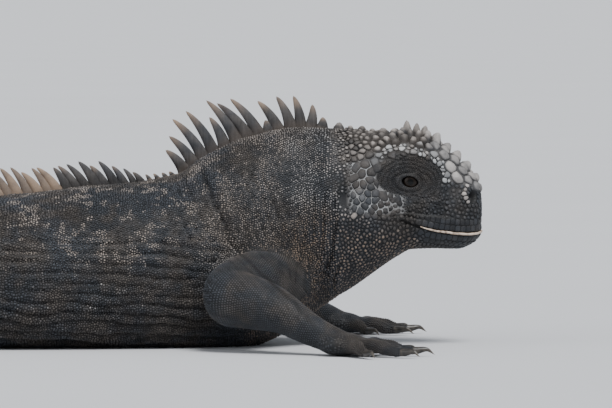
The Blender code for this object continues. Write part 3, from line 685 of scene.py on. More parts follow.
def laid_on(tree, rings, reach=1.5):
    """Rings of points moved onto the skin where it is near."""
    points = rings.reshape(-1, 3).copy()
    places, _, found = set_on(tree, points, reach)
    points[found] = places
    return points.reshape(rings.shape)


def on_side(tree, x, z, side):
    """The place and outward direction of the skin at a place seen from one side."""
    place, normal, _, _ = tree.ray_cast(Vector((x * MM, side * 0.08, z * MM)), Vector((0.0, -side, 0.0)))
    return (None, None) if place is None else (np.array(place) / MM, np.array(normal))


def mask_share(x, z):
    """1 in the dark mask round the eye seen from the side."""
    return window(np.hypot((x - 191.5) / 16.3, (z - 81.5) / 9.3), -1.0, 1.0, 0.12)


def pale_shares(points, distance):
    """How pale the tips and the edges of the scales are at each point of the body, and how warm."""
    x, y, z = np.moveaxis(points, -1, 0)
    height = z / np.maximum(outline_at(np.clip(distance, 1.0, BODY_LENGTH))[0], 1.0)
    warm = 0.42 + 0.3 * mottle(points, 7.0, 41)
    specks = window(distance, 60.0, 128.0, 18.0) * window(height + 0.0035 * (distance - 68.0), 0.62, 2.0, 0.12)
    tips = specks * np.clip(0.52 + 0.8 * mottle(points, 9.0, 11), 0.14, 1.0)
    low_neck = window(distance, 58.0, 110.0, 10.0) * (1.0 - window(height, 0.66, 2.0, 0.1))
    tips = np.maximum(tips, 0.55 * low_neck)
    warm = warm + (0.9 - warm) * low_neck
    patches = 1.15 * np.clip(2.2 * mottle(points, 3.2, 12) + 1.1 * mottle(points, 11.0, 13) - 0.5, 0.0, 1.0)
    back = window(distance, 108.0, 330.0, 30.0) * window(height, 0.55, 0.95, 0.15)
    tips = np.maximum(tips, patches * back)
    warm = warm + (0.66 - warm) * back
    dots = np.clip(2.6 * mottle(points, 3.6, 14) - 1.3, 0.0, 1.0) * 0.6
    tips = np.maximum(tips, dots * window(distance, 125.0, 420.0, 60.0) * window(height, 0.15, 0.6, 0.15))
    throat = window(x, 138.0, 190.0, 12.0) * window(z, 0.0, 52.0, 8.0)
    tips = np.maximum(tips, 0.8 * throat)
    warm = warm + (0.95 - warm) * throat
    above = z - np.interp(x, *zip(*CROWN_EDGE))
    snout = window(distance, -5.0, 24.0, 6.0)
    crown = window(distance, -5.0, 70.0, 4.0) * window(above, 0.0, 99.0, 1.5)
    tips = np.maximum(tips, crown * (0.66 + 0.94 * snout))
    warm = warm + (0.55 - 0.15 * snout - warm) * crown
    rim = np.min([np.hypot(x - a, z - b) for a, b in BROW_RIM], axis=0)
    near_rim = np.clip(1.6 - rim / 2.4, 0.0, 1.0) * (x > 170.0) * (np.abs(y) > 5.0)
    tips = np.maximum(tips, 1.3 * near_rim)
    warm = warm * (1.0 - 0.7 * near_rim)
    mask = mask_share(x, z) * (above < 0.3) * (distance < 60.0)
    cheek = window(x, 163.5, 186.5, 3.5) * window(z, 65.0, 87.0, 3.0) * (1.0 - mask) * (1.0 - crown)
    cheek = cheek * np.clip(0.85 + 0.5 * mottle(points, 6.0, 17), 0.3, 1.0)
    tips = tips * (1.0 - 0.85 * cheek) * (1.0 - mask)
    edges = np.maximum(cheek, 0.22 * crown)
    return tips, edges, np.clip(warm * (1.0 - 0.9 * cheek), 0.0, 1.0)


class Coat:
    """Seeds of scales with all that shapes and marks each of them."""

    def __init__(self):
        self.rows = []

    def add(self, places, normals, ahead, size, height, spot, lean=0.0, tips=None, edges=None, dark=0.0, warm=None):
        """Adds seeds; size is the half spacing and spot the place on the unwrapped skin."""
        n = len(places)
        if n == 0:
            return
        column = lambda value: np.broadcast_to(np.asarray(value, float), (n,))[:, None]
        ahead = np.broadcast_to(np.asarray(ahead, float), (n, 3))
        distance = np.clip(SNOUT_X - places[:, 0], 0.0, BODY_LENGTH)
        found_tips, found_edges, found_warm = pale_shares(places, distance)
        warm = found_warm if warm is None else warm
        tips = found_tips if tips is None else tips
        edges = found_edges if edges is None else edges
        spot = np.broadcast_to(np.asarray(spot, float), (n, 2))
        # Painted shade and light: scales in the valleys of the folds are darkened and those on their ridges lightened,
        # by how deep the fold sinks.
        groove = np.clip(-trunk_relief(places, distance) / 0.8, -0.5, 1.4) * (distance > 62.0)
        dark = dark + groove
        parts = [places, normals, ahead, column(size), column(height), spot, column(lean)]
        self.rows.append(np.hstack([*parts, column(tips), column(edges), column(dark), column(warm)]))

    def table(self):
        """All seeds in one array."""
        return np.concatenate(self.rows)


def cell_reach(places, normals, along, size, angles, limit_share, crowd):
    """How far each scale reaches in each direction before it meets its neighbours in the crowd."""
    tree = KDTree(len(crowd))
    for k, place in enumerate(crowd[:, :3]):
        tree.insert(place, k)
    tree.balance()
    many = min(10, len(crowd))
    near = np.array([[found[1] for found in tree.find_n(place, many)][1:] for place in places])
    across = np.cross(normals, along)
    offset = crowd[near, :3] - places[:, None, :]
    du = np.einsum("nkc,nc->nk", offset, along)
    dv = np.einsum("nkc,nc->nk", offset, across)
    away = np.maximum(np.hypot(du, dv), 1e-3)
    share = size[:, None] / (size[:, None] + crowd[near, 9])
    limit = away * share
    cosine = (du[..., None] * np.cos(angles) + dv[..., None] * np.sin(angles)) / away[..., None]
    reach = np.min(np.where(cosine > 0.12, limit[..., None] / np.maximum(cosine, 0.12), 1e3), axis=1)
    return np.minimum(reach, size[:, None] * limit_share)


def make_scales(name, seeds, sides, profile, material, groove=0.95, seed=1, limit_share=1.35, tones=(0.0, 1.0), rough=0.0, crowd=None, tree=None):
    """One mesh of closed scales: each fills its cell and rises in the steps of the profile."""
    places, normals, ahead = seeds[:, 0:3], seeds[:, 3:6], seeds[:, 6:9]
    size, height, spot, lean = seeds[:, 9], seeds[:, 10], seeds[:, 11:13], seeds[:, 13]
    angles = turn(sides) + math.pi / sides
    along = unit(ahead - normals * np.einsum("nc,nc->n", ahead, normals)[:, None])
    across = np.cross(normals, along)
    crowd = seeds if crowd is None else crowd
    reach = cell_reach(places, normals, along, size, angles, limit_share, crowd) * groove
    out = along[:, None, :] * np.cos(angles)[None, :, None] + across[:, None, :] * np.sin(angles)[None, :, None]
    layers, tips, corners = [], [], []
    for share, rise in profile:
        up = (height * max(rise, 0.0) + min(rise, 0.0))[:, None]
        tilt = along * (height * lean * max(rise, 0.0) ** 1.5)[:, None]
        base = places + normals * up + tilt
        if share > 0:
            ring = places[:, None, :] + out * (reach * share)[..., None]
            ring = ring if tree is None else laid_on(tree, ring)
            layers.append(ring + (base - places)[:, None, :])
            tips.append(np.full((len(places), sides), max(rise, 0.0)))
            local = np.stack([np.cos(angles), np.sin(angles)], -1) * 0.0014 * share
            corners.append(spot[:, None, :] + local[None])
        else:
            layers.append(base[:, None, :])
            tips.append(np.ones((len(places), 1)))
            corners.append(spot[:, None, :])
    points = np.concatenate(layers, axis=1)
    each = points.shape[1]
    j = np.arange(sides)
    k = (j + 1) % sides
    faces = [np.stack([0 * j[2:], j[2:], j[1:-1]], -1)]
    for ring in range(len(profile) - 1):
        a, b = ring * sides, (ring + 1) * sides
        if profile[ring + 1][0] > 0:
            faces += [np.stack([a + j, a + k, b + k], -1), np.stack([a + j, b + k, b + j], -1)]
        else:
            faces.append(np.stack([a + j, a + k, b + 0 * j], -1))
    faces = np.concatenate(faces)
    triangles = (faces[None] + (np.arange(len(places)) * each)[:, None, None]).reshape(-1, 3)
    draw = np.random.default_rng(seed)
    tone = draw.uniform(*tones, len(places))
    points += rough * draw.uniform(-1.0, 1.0, points.shape) * size[:, None, None]
    spread = lambda value: np.repeat(value[:, None], each, axis=1)
    values = {
        "tip": np.concatenate(tips, axis=1),
        "tone": spread(tone),
        "pale_tip": spread(seeds[:, 14]),
        "pale_edge": spread(seeds[:, 15]),
        "dark": spread(seeds[:, 16]),
        "warm": spread(seeds[:, 17]),
    }
    patches = np.concatenate([np.broadcast_to(c, (len(places), c.shape[1], 2)) for c in corners], axis=1)
    obj = mesh_object(name, points.reshape(-1, 3), triangles, material, values, patches.reshape(-1, 2))
    return obj


def body_seeds(tree, first, last, draw):
    """Seeds in staggered rows round the body between two distances behind the snout tip."""
    fine = turn(360)
    coat = Coat()
    distance, odd = first, 0.0
    while distance < last:
        spacing = float(read(SCALE_SPACING, distance)) * SETTINGS().scale_size
        row = body_surface([distance - 0.6, distance, distance + 0.6], fine)
        ring = row[1]
        steps = np.linalg.norm(np.roll(ring, -1, axis=0) - ring, axis=1)
        length = np.concatenate(([0.0], np.cumsum(steps)))
        count = max(6, round(length[-1] / spacing))
        at = (np.arange(count) + odd + draw.uniform(-0.26, 0.26, count)) * length[-1] / count % length[-1]
        closed = np.vstack([ring, ring[:1]])
        places = np.stack([np.interp(at, length, closed[:, k]) for k in range(3)], -1)
        around = np.interp(at, length, np.append(fine, 2 * math.pi))
        _, _, heading = midline_at(distance)
        ahead = np.array([-math.cos(heading), math.sin(heading), 0.0])
        drift = 1.7 * mottle(places, 13.0, 15) + 0.5 * mottle(places, 4.0, 16)
        drift = drift * min(1.0, (distance - first) / 4.0) + draw.uniform(-0.3, 0.3, count) * spacing
        places = places + ahead * drift[:, None]
        above = places[:, 2] > 0.5
        places, around = places[above], around[above]
        places, normals, found = set_on(tree, places)
        spot = np.stack([np.full(found.sum(), distance), around[found] / (2 * math.pi)], -1)
        size = spacing / 2 * draw.uniform(0.8, 1.2, found.sum())
        coat.add(places, normals, ahead, size, size * draw.uniform(0.7, 1.05, found.sum()), spot, 0.25)
        distance += spacing * 0.88 * float(np.interp(distance, (355.0, 370.0), (1.0, 1.15)))
        odd = 0.5 - odd
    return coat.table()


def leg_seeds(tree, joints, palm, toes, side, corner, spacing, draw):
    """Seeds of the scales of one leg and its toes; corner is its place on the unwrapped skin."""
    coat = Coat()
    line, radii = limb_line(joints, side, 200)
    far = np.concatenate(([0.0], np.cumsum(np.linalg.norm(np.diff(line, axis=0), axis=1))))
    lines = [(line, radii, spacing, 0.0)]
    lines += [(toe, thick, spacing * 0.95, 1.0) for toe, thick, _, _ in toe_lines(joints, palm, toes, side, 90)]
    for number, (line, radii, gap, toe) in enumerate(lines):
        far = np.concatenate(([0.0], np.cumsum(np.linalg.norm(np.diff(line, axis=0), axis=1))))
        rows = np.arange(gap / 2, far[-1] + (0.0 if toe else 6.0), gap * 0.88)
        middle = np.stack([np.interp(rows, far, line[:, k]) for k in range(3)], -1)
        over = np.maximum(rows - far[-1], 0.0)
        ahead = unit(np.gradient(middle, axis=0))
        ahead = np.where(over[:, None] > 0, unit(line[-1] - line[-2]), ahead)
        middle += ahead * over[:, None]
        thick = np.interp(rows, far, radii)
        for k, (centre, way, radius) in enumerate(zip(middle, ahead, thick)):
            count = max(6, round(2 * math.pi * radius / gap))
            angles = (np.arange(count) + 0.5 * (k % 2) + draw.uniform(-0.12, 0.12, count)) * 2 * math.pi / count
            side_way = unit(np.cross(way, [0.0, 0.0, 1.0]))
            up = np.cross(side_way, way)
            places = centre + radius * (up * np.cos(angles)[:, None] + side_way * np.sin(angles)[:, None])
            keep = places[:, 2] > 0.4
            for other, _, _, _ in lines[:1] if toe else []:
                keep &= np.min(np.linalg.norm(places[:, None] - other[None, -30:], axis=-1), axis=1) > 5.0
            places, angles = places[keep], angles[keep]
            hidden = inside_leg(places, lines, number)
            places, angles = places[~hidden], angles[~hidden]
            places, normals, found = set_on(tree, places, 2.6 if not toe else 1.6)
            turned = np.einsum("nk,nk->n", normals, unit(places - centre)) if len(places) else np.zeros(0)
            good = turned > 0.35
            spot = np.array(corner) + np.stack(
                [np.full(good.sum(), (rows[k] + 14.0 * number) / 260.0), angles[found][good] / (2 * math.pi) * 0.4], -1
            )
            upper = np.clip(normals[good][:, 2], 0.0, 1.0)
            height = gap * (0.26 + (0.16 * upper if toe else 0.04))
            coat.add(places[good], normals[good], way, gap / 2, height, spot, 0.5, tips=0.04, edges=0.0, dark=0.0)
    return coat.table()


def filled_in(seeds, front, spacing, draw):
    """The seeds of two legs, with more where the palms and joints are still bare."""
    spots, ways = random_spots(skin_object(), 30000, lambda points: on_legs(points, front), draw)
    gaps = np.full(len(spots), spacing)
    chosen = thinned(spots, gaps, seeds[:, :3], np.full(len(seeds), spacing * 0.9), range(len(spots)))
    spots, ways = spots[chosen], ways[chosen]
    coat = Coat()
    coat.add(spots, ways, (1.0, 0.0, 0.0), spacing / 2, spacing * 0.26, (0.5, 0.03), 0.2, tips=0.04, edges=0.0)
    more = coat.table()
    more[:, 11] = 0.02 + 0.96 * (spots[:, 0] - spots[:, 0].min()) / max(np.ptp(spots[:, 0]), 1.0)
    more[:, 12] = 0.01 + 0.04 * (spots[:, 1] > 0) + 0.0002 * spots[:, 2]
    return np.concatenate([seeds, more])


def inside_leg(places, lines, number):
    """Which places lie well inside one of the other tubes of a leg."""
    hidden = np.zeros(len(places), bool)
    for other, (line, radii, _, _) in enumerate(lines):
        every = 6
        away = np.linalg.norm(places[:, None] - line[None, ::every], axis=-1) / radii[::every]
        hidden |= away.min(axis=1) < (0.9 if other != number else 0.86)
    return hidden


def thinned(places, spacing, taken, taken_spacing, order):
    """Drops places until none is nearer to another, or to a taken one, than their mean spacing."""
    cell = float(max(spacing[np.isfinite(spacing)].max(), taken_spacing.max()))
    grid, kept = {}, []
    for place, gap in zip(taken, taken_spacing):
        grid.setdefault(tuple((place // cell).astype(int)), []).append((place, gap))
    for k in order:
        place, gap = places[k], spacing[k]
        if not np.isfinite(gap):
            continue
        a, b, c = (place // cell).astype(int)
        near = (
            entry
            for i in (a - 1, a, a + 1)
            for j in (b - 1, b, b + 1)
            for h in (c - 1, c, c + 1)
            for entry in grid.get((i, j, h), ())
        )
        if all(math.dist(place, other) > 0.5 * (gap + wide) for other, wide in near):
            grid.setdefault((a, b, c), []).append((place, gap))
            kept.append(k)
    return np.array(kept, int)


def head_spacing(places, normals):
    """Spacing of the scales of the head at each place; infinite where there are none."""
    x, y, z = places.T
    crown = z - np.interp(x, *zip(*CROWN_EDGE))
    mask = np.hypot((x - 191.5) / 16.3, (z - 81.0) / 9.6)
    ear = np.hypot((x - EAR[0]) / 3.4, (z - EAR[1]) / 5.4)
    nostril = np.hypot((x - NOSTRIL[0] - 0.3) / 2.4, (z - NOSTRIL[1] + 0.2) / 3.3)
    far = SNOUT_X - x
    spacing = np.full(len(x), 2.3)
    spacing = np.where(z < 62.0, np.interp(far, (40.0, 62.0), (1.7, 1.3)), spacing)
    spacing = np.where((x > 163.0) & (x < 187.0) & (z > 64.5) & (mask > 1.0), np.interp(z, (66.0, 80.0), (2.5, 3.5)), spacing)
    spacing = np.where((x > 187.0) & (x < 207.0) & (z > 62.0) & (z < 74.0), 1.35, spacing)
    spacing = np.where((x > 207.0) & (z > 62.0) & (z < 80.0), 1.7, spacing)
    spacing = np.where((x < 163.0) & (crown < 0.0), np.interp(far, (63.0, 70.0), (1.45, 1.2)), spacing)
    spacing = np.where(crown > 0.0, np.interp(far, (47.0, 69.0), (3.8, 1.35)), spacing)
    spacing = np.where((crown > 0.0) & (far < 24.0), 4.5, spacing)
    gone = ((mask < 1.0) & (np.abs(y) > 6.0) & (crown < 0.3)) | (ear < 0.75) | ((nostril < 1.0) & (np.abs(y) > 4.0))
    gone |= (np.abs(z - mouth_height(x)) < 0.85) & (x > MOUTH_LINE[0][0])
    return np.where(gone, np.inf, spacing)


def head_height(places, spacing, draw):
    """Height of the scales of the head: knobs on the crown, plates on the cheek, grains below."""
    x, y, z = places.T
    crown = z - np.interp(x, *zip(*CROWN_EDGE))
    far = SNOUT_X - x
    knob = read(KNOB_HEIGHTS, np.clip(far, 1.0, 70.0)) * np.clip(1.0 - 0.42 * (np.abs(y) / 17.0) ** 1.6, 0.35, 1.0)
    knob = knob * draw.uniform(0.7, 1.18, len(x)) * SETTINGS().knob_height
    height = np.where(crown > 0.0, knob * np.interp(far, (48.0, 70.0), (1.0, 0.3)) + 0.2, spacing * 0.27)
    cheek = (x > 163.0) & (x < 187.0) & (crown < 0.0) & (spacing > 2.4)
    return np.where(cheek, 0.75, height)


def head_seeds(tree, skin, draw):
    """All seeds of the head: knobs, rim, lips, lids, and the scattered plates between them."""
    tall, low, grain = Coat(), Coat(), Coat()
    ahead = np.array([-1.0, 0.0, 0.0])
    for far, y, radius, height in PROFILE_KNOBS:
        top = (SNOUT_X - far, -y, float(outline_at(far)[0]) - COAT_DEPTH)
        places, normals, _ = set_on(tree, [top], 4.0)
        height = height * SETTINGS().knob_height
        tall.add(places, normals, ahead, radius, height, unwrapped(places), 0.1, tips=1.6 if far < 38.0 else 1.1, edges=0.3)
    for side in (-1, 1):
        for k in range(30):
            x, z = rim_at(k / 29.0)
            stray = 0.9 * (-1) ** k + draw.uniform(-0.4, 0.4)
            place, normal = on_side(tree, x + draw.uniform(-0.6, 0.6), z + stray, side)
            if place is not None:
                size = draw.uniform(0.6, 1.3)
                low.add(place[None], normal[None], ahead, size, draw.uniform(0.7, 1.5), unwrapped(place[None]), 0.0, tips=1.4)
        for x, z, size in NOSTRIL_RIM:
            place, normal = on_side(tree, x, z, side)
            if place is not None:
                low.add(place[None], normal[None], ahead, size, 0.85, unwrapped(place[None]), 0.0, tips=1.5, warm=0.5)
        for ring in range(11):
            grow = 0.75 + 0.95 * ring
            a, b = EYE_OPENING[0] / 2 + grow, EYE_OPENING[1] / 2 + grow * 0.78
            count = round(math.pi * (a + b) / 0.98)
            for k in range(count):
                angle = 2 * math.pi * (k + 0.5 * (ring % 2) + draw.uniform(-0.3, 0.3)) / count
                stray = draw.uniform(-0.34, 0.34) * min(1.0, ring / 3.0)
                tilt = math.radians(EYE_TILT * max(0.0, 1.0 - ring / 7.0))
                u, v = (a + stray) * math.cos(angle), (b + stray) * math.sin(angle)
                x = EYE_CENTRE[0] + u * math.cos(tilt) - v * math.sin(tilt)
                z = EYE_CENTRE[2] + u * math.sin(tilt) + v * math.cos(tilt) + 0.12 * ring
                if math.hypot((x - 191.5) / 16.4, (z - 81.0) / 9.7) > 1.0:
                    continue
                place, normal = on_side(tree, x, z, side)
                if place is not None and abs(place[1]) > 8.0:
                    fine = (0.45 if ring < 3 else 0.56) * draw.uniform(0.8, 1.25)
                    rise = (0.1 if ring < 2 else 0.24) * draw.uniform(0.6, 1.3)
                    grain.add(place[None], normal[None], ahead, fine, rise, unwrapped(place[None]), 0.0, tips=0.0, edges=0.0, dark=0.9)
    for off, size, height in ((2.35, 1.3, 0.26), (5.5, 1.2, 0.24), (-2.4, 1.3, 0.26), (-5.4, 1.2, 0.24)):
        step = 0.0
        angle = -MOUTH_TURN + 3.0 + (3.5 if abs(off) > 3 else 0.0)
        while angle < MOUTH_TURN - 3.0:
            place, normal = lip_place(tree, angle, off)
            if place is not None and place[0] > MOUTH_LINE[0][0] + 0.5:
                low.add(place[None], normal[None], ahead, size, height, unwrapped(place[None]), 0.0, tips=0.0, edges=0.0, dark=0.8)
            reach = 18.0 if place is None else max(6.0, math.hypot(place[0] - MOUTH_PIVOT_X, place[1]))
            angle += math.degrees(2 * size / reach)
    placed = np.concatenate([tall.table(), low.table()])
    spots, ways = random_spots(skin, 60000, on_head, draw)
    spacing = head_spacing(spots, ways)
    chosen = thinned(spots, spacing, placed[:, :3], placed[:, 9] * 2.0, range(len(spots)))
    spots, ways, spacing = spots[chosen], ways[chosen], spacing[chosen]
    height = head_height(spots, spacing, draw)
    knobs = height > 1.3
    tall.add(spots[knobs], ways[knobs], ahead, spacing[knobs] / 2, height[knobs], unwrapped(spots[knobs]), 0.15)
    flat = ~knobs
    lip = (spots[:, 2] > 44.0) & (spots[:, 2] < 76.0) & (spots[:, 0] > 186.0)
    dark = np.where(lip, 0.7, 0.45)
    low.add(spots[flat], ways[flat], ahead, spacing[flat] / 2, height[flat], unwrapped(spots[flat]), 0.0, dark=dark[flat])
    return tall.table(), low.table(), grain.table()


def unwrapped(places):
    """Place on the unwrapped skin of the head: along it, and round it."""
    round_head = np.arctan2(places[:, 1], places[:, 2] - 64.0) / (2 * math.pi) + 0.5
    return np.stack([(SNOUT_X - places[:, 0] + 2.0) / 84.0, round_head], -1)


def rim_at(share):
    """X and height of the rim over the eye at a share of its length."""
    line, _ = line_through([(x, 0.0, z) for x, z in BROW_RIM], 101)
    return line[round(share * 100), 0], line[round(share * 100), 2]


def lip_place(tree, angle, off):
    """Place and outward direction on the lips, at a turn round the snout and an offset from the mouth."""
    ray = Vector((math.cos(math.radians(angle)), math.sin(math.radians(angle)), 0.0))
    x, place, normal = MOUTH_PIVOT_X, None, None
    for _ in range(3):
        start = Vector((MOUTH_PIVOT_X, 0.0, float(mouth_height(x)) + off)) * MM
        place, normal, _, _ = tree.ray_cast(start, ray)
        if place is None:
            return None, None
        x = place.x / MM
    return np.array(place) / MM, np.array(normal)


def on_head(points):
    """Which points lie on the head and throat."""
    return (points[:, 0] > SNOUT_X - COAT_START + 0.5) & (points[:, 2] > 1.0) & (np.abs(points[:, 1]) < 40.0)


def on_legs(points, front):
    """Which points lie on the fore or hind legs, clear of the body."""
    half = outline_at(np.clip(SNOUT_X - points[:, 0], 1.0, BODY_LENGTH))[2]
    ahead = points[:, 0] > 20.0
    return (ahead == front) & (np.abs(points[:, 1]) > half + 4.0) & (points[:, 2] > 0.4) & (points[:, 0] > -160.0)


def random_spots(skin, count, chosen, draw):
    """Evenly random places on the chosen part of the skin, with outward directions."""
    mesh = skin.data
    mesh.calc_loop_triangles()
    corners = np.empty(len(mesh.loop_triangles) * 3, np.int32)
    mesh.loop_triangles.foreach_get("vertices", corners)
    points = np.empty(len(mesh.vertices) * 3)
    mesh.vertices.foreach_get("co", points)
    a, b, c = (points.reshape(-1, 3)[corners.reshape(-1, 3)[:, k]] / MM for k in range(3))
    part = chosen(a)
    a, b, c = a[part], b[part], c[part]
    normals = np.cross(b - a, c - a)
    area = np.linalg.norm(normals, axis=1)
    pick = draw.choice(len(a), count, p=area / area.sum())
    u, v = draw.random((2, count))
    flip = u + v > 1.0
    u, v = np.where(flip, 1.0 - u, u)[:, None], np.where(flip, 1.0 - v, v)[:, None]
    spots = a[pick] + (b[pick] - a[pick]) * u + (c[pick] - a[pick]) * v
    socket = np.linalg.norm(spots * [1.0, 0.0, 1.0] - np.array([EYE_CENTRE[0], 0.0, EYE_CENTRE[2]]), axis=1) < 6.0
    deep = socket & (np.abs(spots[:, 1]) < EYE_CENTRE[1] + 4.0) & (np.abs(spots[:, 1]) > 6.0)
    return spots[~deep], unit(normals[pick])[~deep]


def spine_surface(distance, length, lean, base, sides=14, rings=14):
    """Rings of one flattened, ribbed spine that curls back to its point, and the share of its length."""
    x, y, heading = (float(v) for v in midline_at(distance))
    place = np.array([x, y, float(outline_at(distance)[0]) - COAT_DEPTH])
    back = np.array([-math.cos(heading), math.sin(heading), 0.0])
    side = np.array([math.sin(heading), math.cos(heading), 0.0])
    share = np.linspace(0.0, 1.0, rings) ** 0.8
    bend = np.radians(lean + SPINE_CURL * (2 * share - 1))
    steps = np.diff(share, prepend=0.0) * length
    middle = np.cumsum(np.stack([np.sin(bend) * steps, np.cos(bend) * steps], -1), axis=0)
    root = np.array([[0.0, -SPINE_ROOT]])
    middle = np.concatenate([root, middle])
    share = np.concatenate(([0.0], share))
    bend = np.concatenate(([0.0], bend))
    blunt = np.sqrt(1.0 - share**7)
    wide = base[0] / 2 * (1 - 0.68 * share**1.15) * blunt * (1 + 0.1 * np.exp(-((share / 0.08) ** 2)))
    thick = base[1] / 2 * (1 - 0.6 * share**1.3) * blunt
    ring = turn(sides)
    ribs = 1.0 + 0.05 * np.cos(ring * 5.0)
    forward = np.cos(ring)[None, :] * wide[:, None] * ribs
    across = np.sin(ring)[None, :] * thick[:, None] * ribs
    lead = back[None] * np.cos(bend)[:, None] - np.array([0.0, 0.0, 1.0])[None] * np.sin(bend)[:, None]
    points = place + back * middle[:, :1] + np.array([0.0, 0.0, 1.0]) * middle[:, 1:]
    grid = points[:, None, :] + lead[:, None, :] * forward[..., None] + side * across[..., None]
    return grid, share


def joined(name, shells, material, keys):
    """One object from several closed surfaces with values at their points."""
    points, triangles, values, patches, count = [], [], {key: [] for key in keys}, [], 0
    for (more, faces), given, patch in shells:
        points.append(more)
        triangles.append(faces + count)
        count += len(more)
        for key in keys:
            values[key].append(np.broadcast_to(given[key], (len(more),)))
        patches.append(patch)
    values = {key: np.concatenate(parts) for key, parts in values.items()}
    return mesh_object(name, np.concatenate(points), np.concatenate(triangles), material, values, np.concatenate(patches))


def make_crest(name, spines, material):
    """A row of spines; each is a distance, length, lean, base and paleness of tip and edge."""
    shells = []
    for number, (distance, length, lean, base, pale, root_pale) in enumerate(spines):
        grid, share = spine_surface(distance, length, lean, base)
        rings = [grid[0].mean(axis=0), *grid[:-1], grid[-1].mean(axis=0)]
        points, triangles = shell(rings)
        tip = np.concatenate(([0.0], np.repeat(share[:-1], grid.shape[1]), [1.0]))
        tip = tip + 0.75 * (1.0 - tip) * max(0.0, pale - 0.85)
        ring = turn(grid.shape[1])
        local = np.stack([np.cos(ring), np.sin(ring)], -1)
        spot = np.array([(number + 0.5) / len(spines), 0.5])
        size = 0.4 / len(spines)
        patch = [spot[None]]
        patch += [spot + local * size * (1.0 - 0.9 * s) for s in share[:-1]]
        patch.append(spot[None])
        tone = np.full(len(points), 0.6 + 0.4 * ((number * 0.618) % 1.0))
        given = {"tip": tip, "tone": tone, "pale_tip": np.full(len(points), pale), "pale_edge": np.full(len(points), root_pale), "dark": np.zeros(len(points)), "warm": np.full(len(points), 0.6)}
        shells.append(((points, triangles), given, np.concatenate(patch)))
    return joined(name, shells, material, ("tip", "tone", "pale_tip", "pale_edge", "dark", "warm"))


def crest_row(first, last, draw):
    """Spines of the back or tail from one distance to another."""
    spines, distance = [], first
    lengths = read(BACK_SPINES, np.array([192.0]))[0]
    while distance < last:
        length = float(read(BACK_SPINES, distance)) * draw.uniform(0.84, 1.12)
        size = BASE_LEAST + (1.0 - BASE_LEAST) * length / lengths
        base = (BACK_BASE[0] * size * draw.uniform(0.88, 1.1), BACK_BASE[1] * size)
        far_pale = 1.5 * float(window(distance, 203.0, 900.0, 5.0)) * float(window(distance, 0.0, 245.0, 110.0))
        near_pale = 0.85 if 178.0 < distance < 184.0 else 0.3
        pale = max(far_pale, near_pale * draw.uniform(0.4, 1.2))
        low = float(window(distance, 140.0, 158.0, 3.0))
        spines.append((distance, length, BACK_LEAN + draw.uniform(-5.0, 5.0), base, max(pale, low), max(far_pale * 0.8, low)))
        distance += float(read(BACK_SPINES, distance, 2)) * draw.uniform(0.9, 1.1)
    return spines


def make_claws(name, material):
    """All claws as curved cones with a grooved underside."""
    shells = []
    for joints, palm, toes in ((FORE_LIMB, FORE_PALM, FORE_TOES), (HIND_LIMB, HIND_PALM, HIND_TOES)):
        for side in (-1, 1):
            for line, _, stout, ahead in toe_lines(joints, palm, toes, side, 30):
                share = np.linspace(0.0, 1.0, 18)
                height, radii = (read(CLAW_ARCH, share, k) for k in (1, 2))
                middle = line[-1] - ahead * CLAW_SUNK + ahead * (CLAW_LENGTH * stout * share)[:, None]
                middle[:, 2] += height
                ring = turn(16)
                keel = 1.0 + 0.12 * np.cos(ring)[None, :] ** 3 - 0.08 * np.cos(2 * ring)[None, :]
                grid = tube_surface(middle, np.maximum(radii * stout, 0.02), ring, 0.82)
                grid = middle[:, None] + (grid - middle[:, None]) * keel[..., None]
                points, triangles = shell([grid[0].mean(axis=0), *grid[:-1], grid[-1].mean(axis=0)])
                tip = np.concatenate(([0.0], np.repeat(share[:-1], 16), [1.0]))
                values = {"tip": tip, "tone": np.full(len(points), len(shells) * 0.618 % 1.0)}
                spot = np.array([0.05 + 0.045 * len(shells), 0.5])
                local = np.stack([np.cos(ring), np.sin(ring)], -1)
                patch = [spot[None], *[spot + local * 0.02 * (1.0 - 0.9 * s) for s in share[:-1]], spot[None]]
                shells.append(((points, triangles), values, np.concatenate(patch)))
    return joined(name, shells, material, ("tip", "tone"))


def make_lip_edge(name, tree, material):
    """The pale edge of the lower lip, from one corner of the mouth round to the other."""
    line = []
    for angle in np.linspace(-MOUTH_TURN + 2.0, MOUTH_TURN - 2.0, 160):
        place, normal = lip_place(tree, angle, -0.45)
        if place is not None and place[0] > MOUTH_LINE[0][0] + 0.4:
            line.append(place + normal * 1.1)
    line = np.array(line)
    for _ in range(6):
        line[1:-1] = (line[:-2] + line[1:-1] * 2 + line[2:]) / 4
    share = np.linspace(-1.0, 1.0, len(line))
    radii = 0.56 * (1.0 - 0.6 * share**6) * (1.0 + 0.12 * mottle(line, 1.4, 21))
    ring = turn(12)
    points, triangles = shell(capped(tube_surface(line, radii, ring)))
    local = np.stack([np.cos(ring), np.sin(ring)], -1) * 0.0014
    middle = np.stack([0.05 + 0.45 * (share + 1.0), 0.5 + 0 * share], -1)
    patch = [middle[:1], *[spot + local for spot in middle], middle[-1:]]
    return mesh_object(name, points, triangles, material, None, np.concatenate(patch))


def node(tree, kind, inputs=None, **settings):
    """Adds a node; inputs are values or sockets, by name or number."""
    made = tree.nodes.new(kind)
    for key, value in settings.items():
        setattr(made, key, value)
    for key, value in (inputs or {}).items():
        socket = made.inputs[key]
        if isinstance(value, bpy.types.NodeSocket):
            tree.links.new(value, socket)
        else:
            socket.default_value = value
    return made


def maths(tree, operation, first, second=0.0, clamp=False):
    """The result of one sum on values or sockets."""
    return node(tree, "ShaderNodeMath", {0: first, 1: second}, operation=operation, use_clamp=clamp).outputs[0]


def blended(tree, share, first, second, way="MIX"):
    """One colour laid over another by a share."""
    mix = node(tree, "ShaderNodeMix", {0: share, 6: first, 7: second}, data_type="RGBA", blend_type=way)
    return mix.outputs[2]


